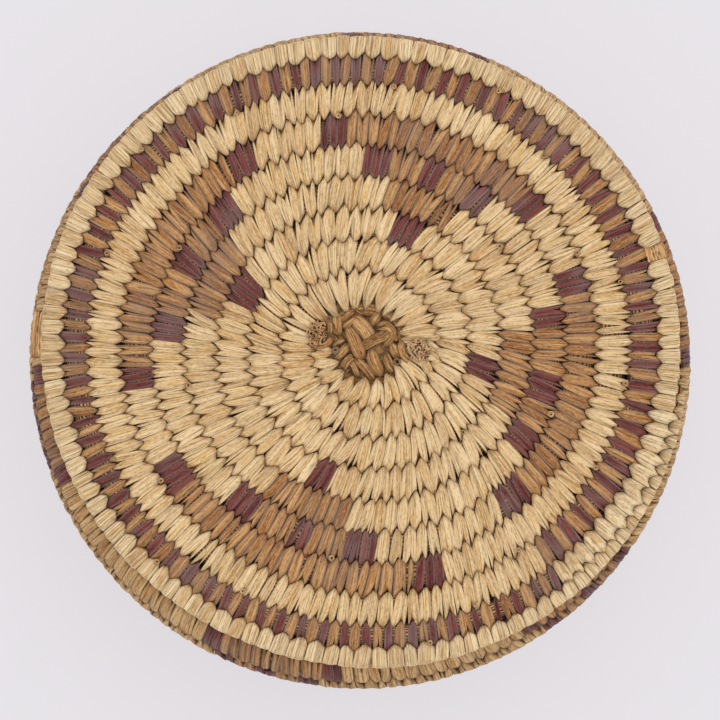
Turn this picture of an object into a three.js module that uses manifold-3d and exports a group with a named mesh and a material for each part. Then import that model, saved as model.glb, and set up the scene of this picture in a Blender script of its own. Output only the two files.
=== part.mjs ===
// A coiled basket with a loose lid, sewn with natural, tan and dark red strips.
// Millimetres, +Z up. The origin is on the ground under the middle of the basket.
import * as THREE from "three";
import { mergeVertices } from "three/addons/utils/BufferGeometryUtils.js";
import Module from "manifold-3d";

const wasm = await Module();
wasm.setup();

// Driving dimensions of the coils
const PITCH = 10; // from one turn of the basket's coil to the next, across the coil
const TURN_GAP = 0.8; // left open between two turns
const COIL_THICKNESS = 8.4;
const STITCH_THICKNESS = 0.8; // of the strips round the bundle
const CLEARANCE = 0.3; // between pieces that touch
const LID_OVALNESS = 0.016; // share by which the round shape is drawn out along OVAL_ANGLE
const BASKET_OVALNESS = 0.003;
const OVAL_ANGLE = -12; // degrees
const KNOT_RADIUS = 11.6; // inner edge of the first turn

// A strip that is carried along under stitches of another colour
const CARRIED_THICKNESS = 0.5;
const CARRIED_WIDTH = 1.6;

// The part of a stitch's tip that lies in the next turn's stitches
const TIP_LENGTH = 3;
const TIP_SINK = 0.7;
const TIP_HEIGHT = 1.4;

// Lid
const LID_START_ANGLE = 178; // degrees, counterclockwise from +X, like every angle here
const SEAM_ANGLE = 309; // where each row of the pattern begins
const LID_ROWS = 9; // rows from seam to seam, the rim row last
const LID_PITCH = 10.56;
const KNOT_CROWDING = 4.7; // how much narrower the knot makes the coil at its start
const RIM_PITCH = 7.7;
const TAIL_SWEEP = 46; // degrees that the tapered end runs on past the seam
const TAPER_SWEEP = 76; // degrees over which the end grows thin
const TAIL_END_WIDTH = 2;
const TAIL_THINNING = 0.5; // share of the coil's thickness that is left at its end
const LID_DOME = 3; // rise of the lid's middle over its edge
const LID_SHIFT = new THREE.Vector2(2.2, 4.6); // the lid lies a little off the middle

// Locating ring under the lid
const RING_WIDTH = 7;
const RING_THICKNESS = 6;
const RING_PLAY = 2.5; // all round, inside the mouth
const RING_SHIFT = new THREE.Vector2(0.4, 1.7);

// Plaited knot in the middle of each coil: as many strips one way as the other
const KNOT_STRIPS = 3;
const KNOT_SPACING = 6;
const KNOT_STRIP_WIDTH = 4.3;
const KNOT_STRIP_THICKNESS = 1;
const KNOT_ANGLE = 33;
const LID_KNOT_RISE = 0.6; // of the plait over the middle of the coil
const BASE_KNOT_RISE = -0.8;

// Cut ends of the two bundles that the lid was started from, standing beside the knot
const BUNDLE_END_RADIUS = 3.3;
const BUNDLE_END_STAND = 2.5; // over the coil's top
const LEFT_END_DISTANCE = 17; // from the middle of the knot
const LEFT_END_ANGLE = 165;
const RIGHT_END_DISTANCE = 17.8;
const RIGHT_END_ANGLE = -4;
const BUNDLE_END_SIDES = 12;

// Basket
const SHOULDER_OVERHANG = 5.5; // the shoulder stands out past the lid's edge
const SHOULDER_BEND = 12; // radius of the coil's path where the wall turns in
const RIM_FLAT = 3.85; // level stretch of that path at the mouth
const FOOT_RADIUS = 78; // where the flat base ends, at the coil's centre
const FOOT_BEND = 16;
const FOOT_EASE = 1; // how far short of the wall's foot the bend is aimed
const WALL_FLARE = 14.8; // the wall leans out by this much from foot to shoulder
const WALL_BELLY = 0.5; // share of the shoulder's height at which the wall turns upright
const BASKET_HEIGHT = 92; // ground to the top of the mouth
const FLOOR_CUT = 0.5; // worn flat under the base
const BASKET_END_ANGLE = 355;
const MOUTH_TAPER_SWEEP = 60;
const MOUTH_END_WIDTH = 4;
const MOUTH_THINNING = 0.7;
const SHOULDER_TURNS = 3; // last turns of the wall, a piece of their own

// Tubes are drawn with straight steps, the same ones for a bundle and its stitches
const FINE_STEPS = 24;
const COARSE_STEPS = 12;
const COARSE_TURNS = 1.5;
const LEAST_STEP = 1e-4; // turns, shorter steps are left out
const TURN_TOLERANCE = 1e-6;
const MERGE_DISTANCE = 1e-3;

// Rows of the lid's pattern, counted from the seam
const TIP_ROW = 2;
const NARROW_ROW = 3;
const BARRED_ROW = 4;
const WIDE_ROW = 5;
const BORDER_ROW = 7;
const RIM_ROW = 8;

// Each arm's dark red bars at the sides of the wide row and in the barred row, its narrow row
// and its tip, from and to so many degrees
const ARMS = [
  {
    sideBars: [[38.7, 44.7], [94.7, 101.5]],
    middleBars: [[50.3, 56.8], [66.7, 72.7], [82.8, 90.6]],
    narrow: [57, 83],
    tip: [65.4, 78],
  },
  {
    sideBars: [[119.5, 126.5], [185.8, 191.3]],
    middleBars: [[131.6, 140.6], [151, 158], [171, 179]],
    narrow: [142, 169.5],
    tip: [148.7, 162.2],
  },
  {
    sideBars: [[210, 218.5], [281.4, 288.4]],
    middleBars: [[228.4, 236.6], [248.4, 253.5], [263.6, 272.3]],
    narrow: [236, 264],
    tip: [247, 255.5],
  },
  {
    sideBars: [[309, 318], [374.8, 381.7]],
    middleBars: [[325, 333], [342.3, 351.6], [366.7, 373]],
    narrow: [334.4, 366.5],
    tip: [344.4, 355.5],
  },
];
const MISSING_STITCH = [17.3, 20.2]; // degrees, in the rim row

// Blocks of the band round the shoulder
const BAND_BLOCKS = [
  [359, 387], [427, 453], [483, 510], [541, 563], [600.5, 626.5], [660.5, 689.5],
];
const BAND_BAR = 3.4;

const STRAW = material(0xd9c08a, 0.8);
const TAN = material(0xb5803f, 0.75);
const DARK_RED = material(0x6b302f, 0.7);
const KNOT_BROWN = material(0xa9743c, 0.75);
const SPLINT = material(0xd8a560, 0.8);

function material(color, roughness) {
  return new THREE.MeshStandardMaterial({ color, roughness, metalness: 0 });
}

const GROUND = 0;
const radians = THREE.MathUtils.degToRad;
const turnsOf = (degrees) => degrees / 360;

// The lid's turns lie side by side: the inner edge of the coil after so many turns
const LID_SEAM_TURN = turnsOf(SEAM_ANGLE - LID_START_ANGLE);
const RIM_TURN = LID_SEAM_TURN + RIM_ROW;
const LID_END_TURN = LID_SEAM_TURN + LID_ROWS + turnsOf(TAIL_SWEEP);
const TAIL_TURN = LID_END_TURN - turnsOf(TAPER_SWEEP);
function lidInnerEdge(turn) {
  const full = Math.min(turn, RIM_TURN);
  const wound = Math.max(LID_PITCH * full - KNOT_CROWDING, 0);
  return KNOT_RADIUS + wound + RIM_PITCH * (turn - full);
}
const LID_RADIUS = (lidInnerEdge(RIM_TURN + 1) + lidInnerEdge(RIM_TURN + 2)) / 2;

// Heights of the coils' centres
const BASE_LEVEL = COIL_THICKNESS / 2 - FLOOR_CUT;
const MOUTH_LEVEL = BASKET_HEIGHT - COIL_THICKNESS / 2;
const LID_EDGE_LEVEL = MOUTH_LEVEL + COIL_THICKNESS + CLEARANCE;

// A meridian is the line that a coil's centre follows in a plane through its axis
const lidMeridian = new THREE.Path()
  .moveTo(0, LID_EDGE_LEVEL + LID_DOME)
  .quadraticCurveTo(LID_RADIUS / 2, LID_EDGE_LEVEL + LID_DOME, LID_RADIUS, LID_EDGE_LEVEL);

const SHOULDER_RADIUS = LID_RADIUS + SHOULDER_OVERHANG - COIL_THICKNESS / 2;
const BEND_RADIUS = SHOULDER_RADIUS - SHOULDER_BEND;
const SHOULDER_LEVEL = MOUTH_LEVEL - SHOULDER_BEND;
const WALL_FOOT = new THREE.Vector2(SHOULDER_RADIUS - WALL_FLARE, BASE_LEVEL + FOOT_BEND);
const BELLY_LEVEL = SHOULDER_LEVEL * WALL_BELLY;
const basketMeridian = new THREE.Path()
  .moveTo(0, BASE_LEVEL)
  .lineTo(FOOT_RADIUS, BASE_LEVEL)
  .quadraticCurveTo(WALL_FOOT.x - FOOT_EASE, BASE_LEVEL, WALL_FOOT.x, WALL_FOOT.y)
  .quadraticCurveTo(SHOULDER_RADIUS, BELLY_LEVEL, SHOULDER_RADIUS, SHOULDER_LEVEL)
  .absarc(BEND_RADIUS, SHOULDER_LEVEL, SHOULDER_BEND, 0, Math.PI / 2)
  .lineTo(BEND_RADIUS - RIM_FLAT, MOUTH_LEVEL);

// A track says where a point of a coil's section lies: across along the meridian, up off it
function makeTrack({ meridian, startAngle, shift, ovalness, distanceAt, coarseTurns = COARSE_TURNS }) {
  const length = meridian.getLength();
  const axis = radians(OVAL_ANGLE);

  function onStation(turn, across, up) {
    const share = THREE.MathUtils.clamp(distanceAt(turn) / length, 0, 1);
    const centre = meridian.getPoint(share);
    const along = meridian.getTangent(share);
    const radius = centre.x + along.x * across - along.y * up;
    const height = centre.y + along.y * across + along.x * up;
    const angle = radians(startAngle) + turn * 2 * Math.PI - axis;
    const point = new THREE.Vector2(
      radius * (1 + ovalness) * Math.cos(angle),
      radius * (1 - ovalness) * Math.sin(angle),
    );
    point.rotateAround(new THREE.Vector2(), axis).add(shift);
    return new THREE.Vector3(point.x, point.y, Math.max(height, GROUND));
  }

  function stepAt(turn) {
    return 1 / (turn < coarseTurns ? COARSE_STEPS : FINE_STEPS);
  }

  function pointAt(turn, across, up) {
    const step = stepAt(turn);
    const before = Math.floor(turn / step + TURN_TOLERANCE) * step;
    const share = (turn - before) / step;
    const from = onStation(before, across, up);
    if (share < TURN_TOLERANCE) return from;
    return from.lerp(onStation(before + step, across, up), share);
  }

  function stationsBetween(from, to) {
    const turns = [from];
    let next = from;
    for (;;) {
      const step = stepAt(next + TURN_TOLERANCE);
      next = (Math.floor(next / step + TURN_TOLERANCE) + 1) * step;
      if (next > to - LEAST_STEP) return [...turns, to];
      if (next > from + LEAST_STEP) turns.push(next);
    }
  }

  // So many millimetres along the coil, in turns
  function turnsAlong(turn, millimetres) {
    const radius = meridian.getPoint(Math.min(distanceAt(turn) / length, 1)).x;
    return millimetres / (2 * Math.PI * radius);
  }

  return { pointAt, stationsBetween, turnsAlong };
}

// Sections are hexagons with a flat above and below
function hexagon(width, thickness) {
  return [0, 1, 2, 3, 4, 5].map((corner) => {
    const angle = (corner * Math.PI) / 3;
    return [
      (Math.cos(angle) * width) / 2,
      ((Math.sin(angle) / Math.sin(Math.PI / 3)) * thickness) / 2,
    ];
  });
}
function rectangle(left, right, bottom, top) {
  return [[right, bottom], [right, top], [left, top], [left, bottom]];
}

function meshGeometry(points, triangles) {
  const geometry = new THREE.BufferGeometry();
  geometry.setAttribute(
    "position",
    new THREE.Float32BufferAttribute(points.flatMap((p) => p.toArray()), 3),
  );
  geometry.setIndex(triangles.flat());
  return geometry;
}

// Faces between two rings that hold as many points each, numbered from first and second
function facesBetween(first, second, count) {
  const triangles = [];
  for (let i = 0; i < count; i++) {
    const j = (i + 1) % count;
    triangles.push([first + i, second + j, first + j], [first + i, second + i, second + j]);
  }
  return triangles;
}

// A solid rod of changing section along a track, from rings of { turn, section }
function rod(track, rings) {
  const count = rings[0].section.length;
  const points = [];
  const triangles = [];
  rings.forEach(({ turn, section }, ring) => {
    for (const [across, up] of section) points.push(track.pointAt(turn, across, up));
    if (ring > 0) triangles.push(...facesBetween((ring - 1) * count, ring * count, count));
  });
  const last = (rings.length - 1) * count;
  for (let i = 1; i < count - 1; i++) {
    triangles.push([0, i, i + 1], [last, last + i + 1, last + i]);
  }
  return meshGeometry(points, triangles);
}

// An open sleeve along a track: its outer rings, then its inner ones
function sleeve(track, from, to, outerAt, innerAt) {
  const turns = track.stationsBetween(from, to);
  const count = outerAt(from).length;
  const points = [];
  for (const sectionAt of [outerAt, innerAt]) {
    for (const turn of turns) {
      for (const [across, up] of sectionAt(turn)) points.push(track.pointAt(turn, across, up));
    }
  }
  const inside = turns.length * count;
  const end = (turns.length - 1) * count;
  const triangles = [];
  for (let start = 0; start < end; start += count) {
    triangles.push(...facesBetween(start, start + count, count));
    triangles.push(...facesBetween(inside + start + count, inside + start, count));
  }
  triangles.push(...facesBetween(inside, 0, count), ...facesBetween(end, inside + end, count));
  return meshGeometry(points, triangles);
}

function solidOf(geometry) {
  const merged = mergeVertices(geometry, MERGE_DISTANCE);
  return new wasm.Manifold(
    new wasm.Mesh({
      numProp: 3,
      vertProperties: merged.attributes.position.array,
      triVerts: new Uint32Array(merged.index.array),
    }),
  );
}

function join(geometries) {
  const joined = geometries.map(solidOf).reduce((a, b) => a.add(b));
  const { vertProperties, triVerts } = joined.getMesh();
  const geometry = new THREE.BufferGeometry();
  geometry.setAttribute("position", new THREE.BufferAttribute(vertProperties, 3));
  geometry.setIndex(new THREE.BufferAttribute(triVerts, 1));
  return geometry;
}

const lid = new THREE.Group();
const basket = new THREE.Group();
const liddedBasket = new THREE.Group();
liddedBasket.add(basket, lid);

function addPart(group, name, geometry, partMaterial) {
  const mesh = new THREE.Mesh(geometry, partMaterial);
  mesh.name = name;
  group.add(mesh);
}

// A coil is a track with the sections of its stitches and its bundle. Where a strip of
// another colour is carried along, the bundle is hollowed below to leave it room.
function makeCoil(track, sizeAt) {
  const shrink = (turn, less) => {
    const { width, thickness } = sizeAt(turn);
    return hexagon(width - 2 * less, thickness - 2 * less);
  };
  const bundle = (turn) => shrink(turn, STITCH_THICKNESS + CLEARANCE);
  const raised = ([across, up]) => [across, up < 0 ? up + CARRIED_THICKNESS + CLEARANCE : up];
  return {
    track,
    halfWidth: (turn) => sizeAt(turn).width / 2,
    outside: (turn) => shrink(turn, 0),
    inside: (turn) => shrink(turn, STITCH_THICKNESS),
    bundle,
    groovedBundle: (turn) => bundle(turn).map(raised),
  };
}

// Stitches of one colour side by side, as the sleeve that they make round the bundle
function stitches(coil, { from, to }) {
  const room = coil.track.turnsAlong(from, CLEARANCE / 2);
  return sleeve(coil.track, from + room, to - room, coil.outside, coil.inside);
}

// Bars of stitches sewn with one strip, which is carried from bar to bar under the others
function joinedBars(coil, bars) {
  const { track } = coil;
  const last = bars.length - 1;
  const rings = [];
  const addRings = (from, to, depth) => {
    for (const turn of track.stationsBetween(from, to)) {
      const below = Math.min(...coil.bundle(turn).map(([, up]) => up));
      const half = CARRIED_WIDTH / 2;
      const section = rectangle(-half, half, below - depth, below + CARRIED_THICKNESS);
      rings.push({ turn, section });
    }
  };
  bars.forEach(({ from, to }, index) => {
    const middle = (from + to) / 2;
    const start = index === 0 ? middle : from;
    const end = index === last ? middle : to;
    addRings(start, end, CLEARANCE + STITCH_THICKNESS / 2);
    if (index < last) addRings(to, bars[index + 1].from, 0);
  });
  return join([...bars.map((bar) => stitches(coil, bar)), rod(track, rings)]);
}

// A stitch tip that pierces the next turn and holds two rows together
function stitchTip(coil, turn) {
  const { track } = coil;
  const edge = coil.halfWidth(turn);
  const half = track.turnsAlong(turn, TIP_LENGTH / 2);
  const section = rectangle(
    edge - TIP_SINK,
    edge + TURN_GAP + TIP_SINK,
    -TIP_HEIGHT / 2,
    TIP_HEIGHT / 2,
  );
  return rod(track, [turn - half, turn + half].map((at) => ({ turn: at, section })));
}

// The least distance from each turn to the next, measured on the points of both
function printLeastGap(name, coil, from, to) {
  let least = Infinity;
  for (const turn of coil.track.stationsBetween(from, to - 1)) {
    const here = coil.track.pointAt(turn, coil.halfWidth(turn), 0);
    const next = coil.track.pointAt(turn + 1, -coil.halfWidth(turn + 1), 0);
    least = Math.min(least, here.distanceTo(next));
  }
  console.log(`${name}: least gap to itself ${least.toFixed(2)} mm`);
}

// The bundle with its straw stitches, drawn in to the bare bundle where other stitches go
function strawCoil(coil, from, to, stretches) {
  const { track } = coil;
  const rings = [];
  const addRings = (start, end, sectionAt) => {
    for (const turn of track.stationsBetween(start, end)) {
      rings.push({ turn, section: sectionAt(turn) });
    }
  };
  let turn = from;
  for (const stretch of [...stretches].sort((a, b) => a.from - b.from)) {
    const room = track.turnsAlong(stretch.from, CLEARANCE);
    if (stretch.from - room > turn) addRings(turn, stretch.from - room, coil.outside);
    addRings(stretch.from - room, stretch.to + room, stretch.section);
    turn = stretch.to + room;
  }
  if (turn < to) addRings(turn, to, coil.outside);
  return rod(track, rings);
}

// Lid

function lidSize(turn) {
  const next = Math.min(turn + 1, LID_END_TURN + 1);
  const full = lidInnerEdge(next) - lidInnerEdge(turn) - TURN_GAP;
  const taper = THREE.MathUtils.clamp((turn - TAIL_TURN) / turnsOf(TAPER_SWEEP), 0, 1);
  const width = THREE.MathUtils.lerp(full, TAIL_END_WIDTH, taper);
  const thickness = COIL_THICKNESS * THREE.MathUtils.lerp(1, TAIL_THINNING, taper);
  return { width, thickness };
}
const lidTrack = makeTrack({
  meridian: lidMeridian,
  startAngle: LID_START_ANGLE,
  shift: LID_SHIFT,
  ovalness: LID_OVALNESS,
  distanceAt: (turn) => lidInnerEdge(turn) + TURN_GAP / 2 + lidSize(turn).width / 2,
});
const lidCoil = makeCoil(lidTrack, lidSize);

// The turn at which a row of the lid passes an angle
const lidTurn = (row, angle) => LID_SEAM_TURN + row + turnsOf((angle - SEAM_ANGLE + 360) % 360);

const lidStretches = [];
const spanOn = (row, [start, end]) => ({ from: lidTurn(row, start), to: lidTurn(row, end) });

ARMS.forEach((arm, index) => {
  const number = index + 1;
  const sideBars = arm.sideBars.map((angles) => spanOn(WIDE_ROW, angles));
  const middleBars = arm.middleBars.map((angles) => spanOn(BARRED_ROW, angles));
  const narrow = spanOn(NARROW_ROW, arm.narrow);
  const tip = spanOn(TIP_ROW, arm.tip);
  const tanWide = { from: sideBars[0].to, to: sideBars[1].from };
  const tanLeft = { from: middleBars[0].to, to: middleBars[1].from };
  const tanRight = { from: middleBars[1].to, to: middleBars[2].from };
  lidStretches.push(
    { from: sideBars[0].from, to: sideBars[1].to, section: lidCoil.groovedBundle },
    { from: middleBars[0].from, to: middleBars[2].to, section: lidCoil.groovedBundle },
    { ...narrow, section: lidCoil.bundle },
    { ...tip, section: lidCoil.bundle },
  );

  const tips = [tanLeft, tanRight].flatMap(({ from, to }) => {
    const at = (from + to) / 2;
    return [stitchTip(lidCoil, at), stitchTip(lidCoil, at - 1)];
  });
  const tan = [tanWide, tanLeft, tanRight, narrow].map((span) => stitches(lidCoil, span));
  addPart(lid, `lid_tan_stitches_${number}`, join([...tan, ...tips]), TAN);
  addPart(lid, `lid_red_side_bars_${number}`, joinedBars(lidCoil, sideBars), DARK_RED);
  addPart(lid, `lid_red_middle_bars_${number}`, joinedBars(lidCoil, middleBars), DARK_RED);
  addPart(lid, `lid_red_tip_${number}`, stitches(lidCoil, tip), DARK_RED);
});

const border = { from: LID_SEAM_TURN + BORDER_ROW, to: LID_SEAM_TURN + BORDER_ROW + 1 };
const rimStart = { from: border.to, to: lidTurn(RIM_ROW, MISSING_STITCH[0]) };
const rimRest = { from: lidTurn(RIM_ROW, MISSING_STITCH[1]), to: TAIL_TURN };
addPart(lid, "lid_border_stitches", stitches(lidCoil, border), TAN);
addPart(lid, "lid_rim_stitches_start", stitches(lidCoil, rimStart), STRAW);
addPart(lid, "lid_rim_stitches", stitches(lidCoil, rimRest), STRAW);
lidStretches.push({ from: border.from, to: rimRest.to, section: lidCoil.bundle });
addPart(lid, "lid_coil", strawCoil(lidCoil, 0, LID_END_TURN, lidStretches), STRAW);
printLeastGap("lid_coil", lidCoil, 0, LID_END_TURN);

// The knot is a plait of flat strips that pass over and under each other
function addKnot(group, name, shift, level) {
  const rise = (KNOT_STRIP_THICKNESS + CLEARANCE) / 2;
  const flat = (KNOT_STRIP_WIDTH + CLEARANCE) / 2;
  const middleOf = (index) => (index - (KNOT_STRIPS - 1) / 2) * KNOT_SPACING;

  function strip(index, sign) {
    const offset = middleOf(index);
    const edge = Math.abs(offset) + KNOT_STRIP_WIDTH / 2;
    const half = Math.sqrt(KNOT_RADIUS ** 2 - edge ** 2);
    const points = [];
    const triangles = [];
    for (let crossing = 0; crossing < KNOT_STRIPS; crossing++) {
      const first = crossing === 0 ? -half : middleOf(crossing) - flat;
      const last = crossing === KNOT_STRIPS - 1 ? half : middleOf(crossing) + flat;
      const height = (crossing + index) % 2 === 0 ? sign * rise : -sign * rise;
      for (const along of [first, last]) {
        const sides = rectangle(
          offset - KNOT_STRIP_WIDTH / 2,
          offset + KNOT_STRIP_WIDTH / 2,
          height - KNOT_STRIP_THICKNESS / 2,
          height + KNOT_STRIP_THICKNESS / 2,
        );
        const count = sides.length;
        const made = points.length;
        if (made > 0) triangles.push(...facesBetween(made - count, made, count));
        for (const [across, up] of sides) points.push(new THREE.Vector3(-along, across, up));
      }
    }
    const end = points.length - 4;
    triangles.push([0, 1, 2], [0, 2, 3], [end, end + 2, end + 1], [end, end + 3, end + 2]);
    return meshGeometry(points, triangles);
  }

  for (const [way, turned, sign] of [["along", 0, 1], ["across", Math.PI / 2, -1]]) {
    for (let index = 0; index < KNOT_STRIPS; index++) {
      const geometry = strip(index, sign);
      geometry.rotateZ(radians(KNOT_ANGLE) + turned);
      geometry.translate(shift.x, shift.y, level);
      addPart(group, `${name}_knot_strip_${way}_${index + 1}`, geometry, KNOT_BROWN);
    }
  }
}
const lidMiddleLevel = LID_EDGE_LEVEL + LID_DOME;
addKnot(lid, "lid", LID_SHIFT, lidMiddleLevel + LID_KNOT_RISE);

// The cut ends stand upright on the coil's first turn, where it starts and half way round
function addBundleEnd(name, distance, angle) {
  const face = lidMiddleLevel + COIL_THICKNESS / 2;
  const top = face + BUNDLE_END_STAND;
  const bottom = face + CLEARANCE;
  const geometry = new THREE.CylinderGeometry(
    BUNDLE_END_RADIUS,
    BUNDLE_END_RADIUS,
    top - bottom,
    BUNDLE_END_SIDES,
  );
  geometry.rotateX(Math.PI / 2);
  geometry.translate(
    LID_SHIFT.x + distance * Math.cos(radians(angle)),
    LID_SHIFT.y + distance * Math.sin(radians(angle)),
    (top + bottom) / 2,
  );
  addPart(lid, name, geometry, SPLINT);
}
addBundleEnd("lid_bundle_end_left", LEFT_END_DISTANCE, LEFT_END_ANGLE);
addBundleEnd("lid_bundle_end_right", RIGHT_END_DISTANCE, RIGHT_END_ANGLE);

// Basket

const meridianLength = basketMeridian.getLength();
const FIRST_DISTANCE = KNOT_RADIUS + PITCH / 2;
const BASKET_TURNS = (meridianLength - FIRST_DISTANCE) / PITCH;
const BASKET_START_ANGLE = BASKET_END_ANGLE - 360 * BASKET_TURNS;
function basketSize(turn) {
  const sweep = turnsOf(MOUTH_TAPER_SWEEP);
  const taper = THREE.MathUtils.clamp((turn - BASKET_TURNS + sweep) / sweep, 0, 1);
  const width = THREE.MathUtils.lerp(PITCH - TURN_GAP, MOUTH_END_WIDTH, taper);
  const thickness = COIL_THICKNESS * THREE.MathUtils.lerp(1, MOUTH_THINNING, taper);
  return { width, thickness };
}
const basketTrack = makeTrack({
  meridian: basketMeridian,
  startAngle: BASKET_START_ANGLE,
  shift: new THREE.Vector2(),
  ovalness: BASKET_OVALNESS,
  distanceAt: (turn) => FIRST_DISTANCE + PITCH * turn,
});
const basketCoil = makeCoil(basketTrack, basketSize);

// The band is the last turn but one
const bandTurn = (angle) => BASKET_TURNS - 2 + turnsOf(angle - BASKET_END_ANGLE);
const bandStretches = BAND_BLOCKS.map(([start, end], index) => {
  const block = { from: bandTurn(start), to: bandTurn(end) };
  const bar = turnsOf(BAND_BAR);
  const bars = [
    { from: block.from, to: block.from + bar },
    { from: block.to - bar, to: block.to },
  ];
  const tan = stitches(basketCoil, { from: bars[0].to, to: bars[1].from });
  addPart(basket, `band_tan_stitches_${index + 1}`, tan, TAN);
  addPart(basket, `band_red_bars_${index + 1}`, joinedBars(basketCoil, bars), DARK_RED);
  return { ...block, section: basketCoil.groovedBundle };
});

const footTurn = (FOOT_RADIUS - FIRST_DISTANCE) / PITCH;
const footRoom = basketTrack.turnsAlong(footTurn, CLEARANCE);
const baseGeometry = strawCoil(basketCoil, 0, footTurn - footRoom, []);
const shoulderTurn = BASKET_TURNS - SHOULDER_TURNS;
const shoulderRoom = basketTrack.turnsAlong(shoulderTurn, CLEARANCE);
const wallGeometry = strawCoil(basketCoil, footTurn, shoulderTurn - shoulderRoom, []);
const shoulderGeometry = strawCoil(basketCoil, shoulderTurn, BASKET_TURNS, bandStretches);
addPart(basket, "base_coil", baseGeometry, STRAW);
addPart(basket, "wall_coil", wallGeometry, STRAW);
addPart(basket, "shoulder_coil", shoulderGeometry, STRAW);
printLeastGap("basket's coil", basketCoil, 0, BASKET_TURNS);
addKnot(basket, "base", new THREE.Vector2(), BASE_LEVEL + BASE_KNOT_RISE);

// The locating ring is one turn of a thinner coil, sewn under the lid, that fits the mouth
const taperStart = BASKET_TURNS - turnsOf(MOUTH_TAPER_SWEEP);
const mouthPath = basketMeridian.getPoint((FIRST_DISTANCE + PITCH * taperStart) / meridianLength);
const mouthRadius = (mouthPath.x - basketSize(taperStart).width / 2) * (1 - BASKET_OVALNESS);
const ringRadius = (mouthRadius - RING_PLAY - RING_WIDTH / 2) / (1 + BASKET_OVALNESS);
const lidLevel = lidMeridian.getPoint(mouthRadius / lidMeridian.getLength()).y;
const ringLevel = lidLevel - (COIL_THICKNESS + RING_THICKNESS) / 2 - CLEARANCE;
const ringTrack = makeTrack({
  meridian: new THREE.Path().moveTo(0, ringLevel).lineTo(mouthRadius, ringLevel),
  startAngle: BASKET_END_ANGLE,
  shift: RING_SHIFT,
  ovalness: BASKET_OVALNESS,
  distanceAt: () => ringRadius,
  coarseTurns: 0,
});
const ringEnd = 1 - ringTrack.turnsAlong(1, 2 * CLEARANCE);
const ringRings = ringTrack.stationsBetween(0, ringEnd).map((turn) => ({
  turn,
  section: hexagon(RING_WIDTH, RING_THICKNESS),
}));
addPart(lid, "lid_locating_ring", rod(ringTrack, ringRings), STRAW);

export default liddedBasket;
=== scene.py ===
import bpy
import numpy as np
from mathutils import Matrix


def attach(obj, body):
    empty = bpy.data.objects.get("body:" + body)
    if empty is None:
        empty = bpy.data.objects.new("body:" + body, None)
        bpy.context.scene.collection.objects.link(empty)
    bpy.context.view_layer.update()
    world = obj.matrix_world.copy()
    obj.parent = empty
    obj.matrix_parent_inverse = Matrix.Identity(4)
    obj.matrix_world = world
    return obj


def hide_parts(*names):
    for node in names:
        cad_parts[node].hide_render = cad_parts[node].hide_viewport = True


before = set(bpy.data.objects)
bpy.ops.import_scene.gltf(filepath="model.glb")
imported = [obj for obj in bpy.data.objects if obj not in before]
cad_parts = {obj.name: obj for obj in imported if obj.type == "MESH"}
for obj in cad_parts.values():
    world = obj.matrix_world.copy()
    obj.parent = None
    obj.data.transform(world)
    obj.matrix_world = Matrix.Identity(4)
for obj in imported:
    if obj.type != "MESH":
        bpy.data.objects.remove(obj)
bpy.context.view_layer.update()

METRES = 0.001
TURN = 360.0
SEED = 7
random = np.random.default_rng(SEED)

# The coils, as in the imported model
PITCH = 10.0
TURN_GAP = 0.8
COIL_THICKNESS = 8.4
LID_OVALNESS = 0.016
BASKET_OVALNESS = 0.003
OVAL_ANGLE = -12.0
KNOT_RADIUS = 11.6
LID_START_ANGLE = 178.0
SEAM_ANGLE = 309.0
LID_ROWS = 9
LID_PITCH = 10.56
KNOT_CROWDING = 4.7
RIM_PITCH = 7.7
TAIL_SWEEP = 46.0
TAPER_SWEEP = 76.0
TAIL_END_WIDTH = 2.0
TAIL_THINNING = 0.5
LID_DOME = 3.0
LID_SHIFT = (2.2, 4.6)
SHOULDER_OVERHANG = 5.5
SHOULDER_BEND = 12.0
RIM_FLAT = 3.85
FOOT_RADIUS = 78.0
FOOT_BEND = 16.0
FOOT_EASE = 1.0
WALL_FLARE = 14.8
WALL_BELLY = 0.5
BASKET_HEIGHT = 92.0
FLOOR_CUT = 0.5
BASE_FIRST_TURN = -0.49  # the base's first row starts that far back, beside its knot
BASKET_END_ANGLE = 355.0
MOUTH_TAPER_SWEEP = 60.0
MOUTH_END_WIDTH = 4.0
MOUTH_THINNING = 0.7
CLEARANCE = 0.3
GROUND_PLAY = 0.02
MERIDIAN_SAMPLES = 1200
EASING = 16  # samples on each side over which a meridian's direction is evened out

# The lid's pattern, in rows counted from the seam and in degrees
TIP_ROW = 2
NARROW_ROW = 3
BARRED_ROW = 4
WIDE_ROW = 5
BORDER_ROW = 7
RIM_ROW = 8
ARMS = [
    {
        "side_bars": [(38.7, 44.7), (94.7, 101.5)],
        "middle_bars": [(50.3, 56.8), (66.7, 72.7), (82.8, 90.6)],
        "narrow": (57, 83),
        "tip": (65.4, 78),
    },
    {
        "side_bars": [(119.5, 126.5), (185.8, 191.3)],
        "middle_bars": [(131.6, 140.6), (151, 158), (171, 179)],
        "narrow": (142, 169.5),
        "tip": (148.7, 162.2),
    },
    {
        "side_bars": [(210, 218.5), (281.4, 288.4)],
        "middle_bars": [(228.4, 236.6), (248.4, 253.5), (263.6, 272.3)],
        "narrow": (236, 264),
        "tip": (247, 255.5),
    },
    {
        "side_bars": [(309, 318), (374.8, 381.7)],
        "middle_bars": [(325, 333), (342.3, 351.6), (366.7, 373)],
        "narrow": (334.4, 366.5),
        "tip": (344.4, 355.5),
    },
]
MISSING_STITCH = (17.3, 20.2)

# The band round the shoulder, in degrees, and the motifs under it on the wall
BAND_BLOCKS = [(359, 387), (427, 453), (483, 510), (541, 563), (600.5, 626.5), (660.5, 689.5)]
BAND_BAR = 3.4
BARE_BAND = (531.5, 539.5)
MOTIF_STEPS = [0.36, 0.21, 0.09]  # half widths of the rows below the band, in block widths


def turns_of(degrees):
    return degrees / TURN


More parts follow.
